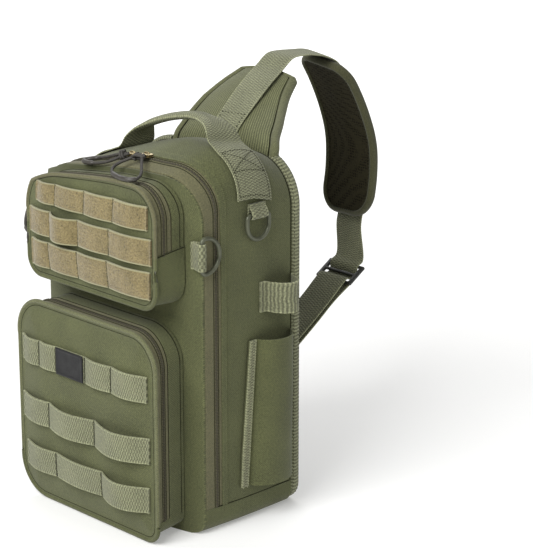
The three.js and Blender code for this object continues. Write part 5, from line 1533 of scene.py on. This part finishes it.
# Points of the webbing at the slide, the anchor's own bend, and the webbing round the anchor's bar.
SLIDE_WEAVE = ((18, 3.4), (9.2, 3.4), (2.4, -3.9), (-2.4, -3.9), (-9.2, 3.4), (-18, 3.4))
ANCHOR_ROWS = np.array([(0, 36), (0, 56), (2.6, 66), (8.1, 76.5), (10.6, 81)])
ANCHOR_TURN = ((11, 3.8), (0, 3.6), (-3.9, 2.9), (-5.2, 0), (-3.9, -2.9), (0, -3.6), (11, -3.8))
pitch = math.radians(SLIDE["pitch"])
slide_along = np.array([0, math.cos(pitch), math.sin(pitch)])
slide_rise = np.array([0, -math.sin(pitch), math.cos(pitch)])
at_slide = (*SLIDE_WEAVE, LOWER_WEB["end"])
*woven, web_end = [SLIDE["at"] + slide_along * a + slide_rise * h for a, h in at_slide]
under_pad = pad_points(0.0, PAD_LENGTH - np.array(LOWER_WEB["on_pad"]), LOWER_WEB["seat"] + WEBBING / 2)
leaving = pad_points(0.0, PAD_LENGTH + LOWER_WEB["past_pad"], PAD["thickness"])
anchor_seat = PAD_SEAT + BACK_FOAM["rim"] + BACK_FOAM["crown"] + SEAT + ANCHOR["thickness"] / 2
anchor_path = ANCHOR_ROWS @ ((0, 1, 0), (0, 0, 1)) + (ANCHOR["x"], anchor_seat, 0)
bar = anchor_path[-2:].mean(0)
bar_along = unit(anchor_path[-1] - anchor_path[-2])
bar_out = -np.cross(bar_along, X_WAY)
bar_turn = [bar + bar_along * a + bar_out * o for a, o in ANCHOR_TURN]
coming_back = LOWER_WEB_RUN[::-1] + LOWER_WEB["ply_drop"]
lower_points = np.vstack([under_pad, leaving, woven, LOWER_WEB_RUN, bar_turn, coming_back, web_end])
lower_path = curve(lower_points, LOWER_WEB["points"])
far = np.linalg.norm(lower_path - woven[0], axis=1).argmin()
twist_share = np.clip(np.arange(len(lower_path)) / far, 0, 1)[:, None]
lower_across = unit(pad_wide[-1] * (1 - twist_share) + X_WAY * twist_share)
lower_web = strap("webbing_strap_lower", lower_path, lower_across, STRAP_WIDTH)
dress(lower_web, olive_webbing, "webbing", "strap_web_lower")
print("strap webbing", round(length_of(upper_path)), "and", round(length_of(lower_path)), "mm")

# %% Boxes of stitches at the strap's sewn ends
SEWN = {"hem": 3.4, "length": 24.0, "count": 14, "lift": 0.1}


def sewn_box(name, path, across):
    """Stitches round the first stretch of a strap, on its outer face."""
    up = unit(np.cross(across, unit(np.gradient(path, axis=0))))
    far_along, facts = distances(path), np.hstack([path, across, up])
    reach, count = STRAP_WIDTH / 2 - SEWN["hem"], SEWN["count"]
    ends = (SEWN["hem"], SEWN["hem"] + SEWN["length"])
    rows = [(np.full(count, far), np.linspace(-reach, reach, count)) for far in ends]
    rows += [(np.linspace(*ends, count), np.full(count, side)) for side in (-reach, reach)]
    for k, (far, aside) in enumerate(rows):
        spot = np.column_stack([np.interp(far, far_along, column) for column in facts.T])
        middle, wide, out = spot[:, :3], spot[:, 3:6], spot[:, 6:]
        row = settled(middle + wide * aside[:, None] + out * (WEBBING / 2 + SEWN["lift"]))
        stitch(f"{name}_{k}", row, out, olive_thread_painted_darker, "webbing")


sewn_box("seam_strap_yoke", upper_path, upper_across)
sewn_box("seam_strap_pad", upper_path[::-1], -upper_across[::-1])
sewn_box("seam_strap_low", lower_path, lower_across)


# %% [markdown]
# Slide and anchor. The moulded slide is a plate with two slots, and the anchor a bent plate with one.
# A grid with cells left out gives the slots, and a bevel rounds every edge as a mould would.

# %% Slotted plates
PLATE_BEVEL = {"width": 1.1, "segments": 3, "angle": 40}


def plate_faces(rows, slot_rows):
    """Faces of a plate of three columns, with a wall wherever a full cell meets an empty one."""
    at = np.arange(rows * 4).reshape(rows, 4)
    full = np.zeros((rows + 1, 5), bool)
    full[1:-1, 1:-1] = True
    full[np.array(slot_rows) + 1, 2] = False
    faces = []
    for r, c in np.argwhere(full):
        top = [int(at[spot]) for spot in ((r - 1, c - 1), (r, c - 1), (r, c), (r - 1, c))]
        faces += [top, [v + rows * 4 for v in top[::-1]]]
        for k, (down, right) in enumerate(((0, -1), (1, 0), (0, 1), (-1, 0))):
            if not full[r + down, c + right]:
                a, b = top[k], top[(k + 1) % 4]
                faces.append([b, a, a + rows * 4, b + rows * 4])
    return faces


def slotted(name, path, size, slot_rows):
    """A plate along a path with slots in its middle column, all edges rounded."""
    normal = unit(np.cross(unit(np.gradient(path, axis=0)), X_WAY))
    across = np.array([-size["width"], -size["slot"], size["slot"], size["width"]]) / 2
    middle = path[:, None] + X_WAY * across[None, :, None]
    layers = [middle + normal[:, None] * side * size["thickness"] / 2 for side in (1, -1)]
    made = turn_out(new_object(name, np.array(layers), plate_faces(len(path), slot_rows)))
    soft = made.modifiers.new("edges", "BEVEL")
    soft.width = PLATE_BEVEL["width"] * MM
    soft.segments = PLATE_BEVEL["segments"]
    soft.limit_method = "ANGLE"
    soft.angle_limit = math.radians(PLATE_BEVEL["angle"])
    keep_result(made, SHARP_ANGLE)
    return made


half, rib = SLIDE["length"] / 2, SLIDE["bar"]
bars = np.array([-half, rib - half, -rib / 2, rib / 2, half - rib, half])
slide = slotted("moulded_slide", SLIDE["at"] + np.outer(bars, slide_along), SLIDE, (1, 3))
dress(slide, moulded_black, "moulded", "triglide")
anchor = slotted("moulded_anchor", anchor_path, ANCHOR, (2,))
dress(anchor, moulded_black, "moulded", "strap_anchor")

# %% [markdown]
# Zipper sliders. A small brass body with a narrow nose straddles the coil, with a bail over it for the cord.
# A short stack of outlines makes the body, and a bent tube makes the bail.

# %% Sliders
SLIDER_HALF = [(-6, -3.4), (-5, -4), (2, -4), (5, -2.9), (6, -2)]
SLIDER_SHAPE = SLIDER_HALF + [(a, -b) for a, b in SLIDER_HALF[::-1]]
# Each level of the body: its height, and its size as a share of the outline.
SLIDER_LEVELS = [(0.2, 0.9), (0.6, 1.0), (1.4, 1.0), (1.7, 0.8), (2.3, 0.8), (2.6, 0.96), (3.2, 0.96),
                 (3.6, 0.8)]
BAIL = [(-3.5, 3.2), (-3, 4.2), (-1.5, 4.6), (1, 4.6), (2.6, 4.2), (3.2, 3.2)]
BAIL_WIRE = {"radius": 0.7, "sides": 8, "points": 16}


def slider(place, seat, forward, up):
    """A slider on its settled seat, with its nose forward and its bail on top."""
    zip_name, end = place
    name = f"slider_{zip_name}_{end}"
    seat, forward, up = settled(seat), np.array(forward, float), np.array(up, float)
    side = np.cross(up, forward)
    level = lambda h, s: [seat + forward * a * s + side * b * s + up * h for a, b in SLIDER_SHAPE]
    rings = np.array([level(h, s) for h, s in SLIDER_LEVELS])
    made = turn_out(new_object(name, rings, ring_faces(*rings.shape[:2])))
    dress(made, slider_brass, "slider_metal", f"{zip_name}_slider_{end}")
    path = curve([seat + forward * a + up * h for a, h in BAIL], BAIL_WIRE["points"])
    across = np.tile(side, (len(path), 1))
    bail = tube(name + "_bail", path, BAIL_WIRE["radius"], BAIL_WIRE["sides"], across=across)
    dress(bail, slider_brass, "slider_metal")


top = body_section(BODY["coil"])["high"] + COIL["lift"] + GAP
for side, sign in SIDES:
    slider(("main", side), np.array([MAIN_SLIDERS[side], BODY["coil"], top]), (-sign, 0, 0), (0, 0, 1))
for pocket_name, pocket, order, place in SIDE_PULLS:
    slider((pocket_name, place), hanging_route(pocket, pocket_name, order)[0], (0, 0, 1), (-1, 0, 0))
print("sliders made")

# %% [markdown]
# Last step. The view transform is set to Standard.

# %% View transform
SCENE.view_settings.view_transform = "Standard"
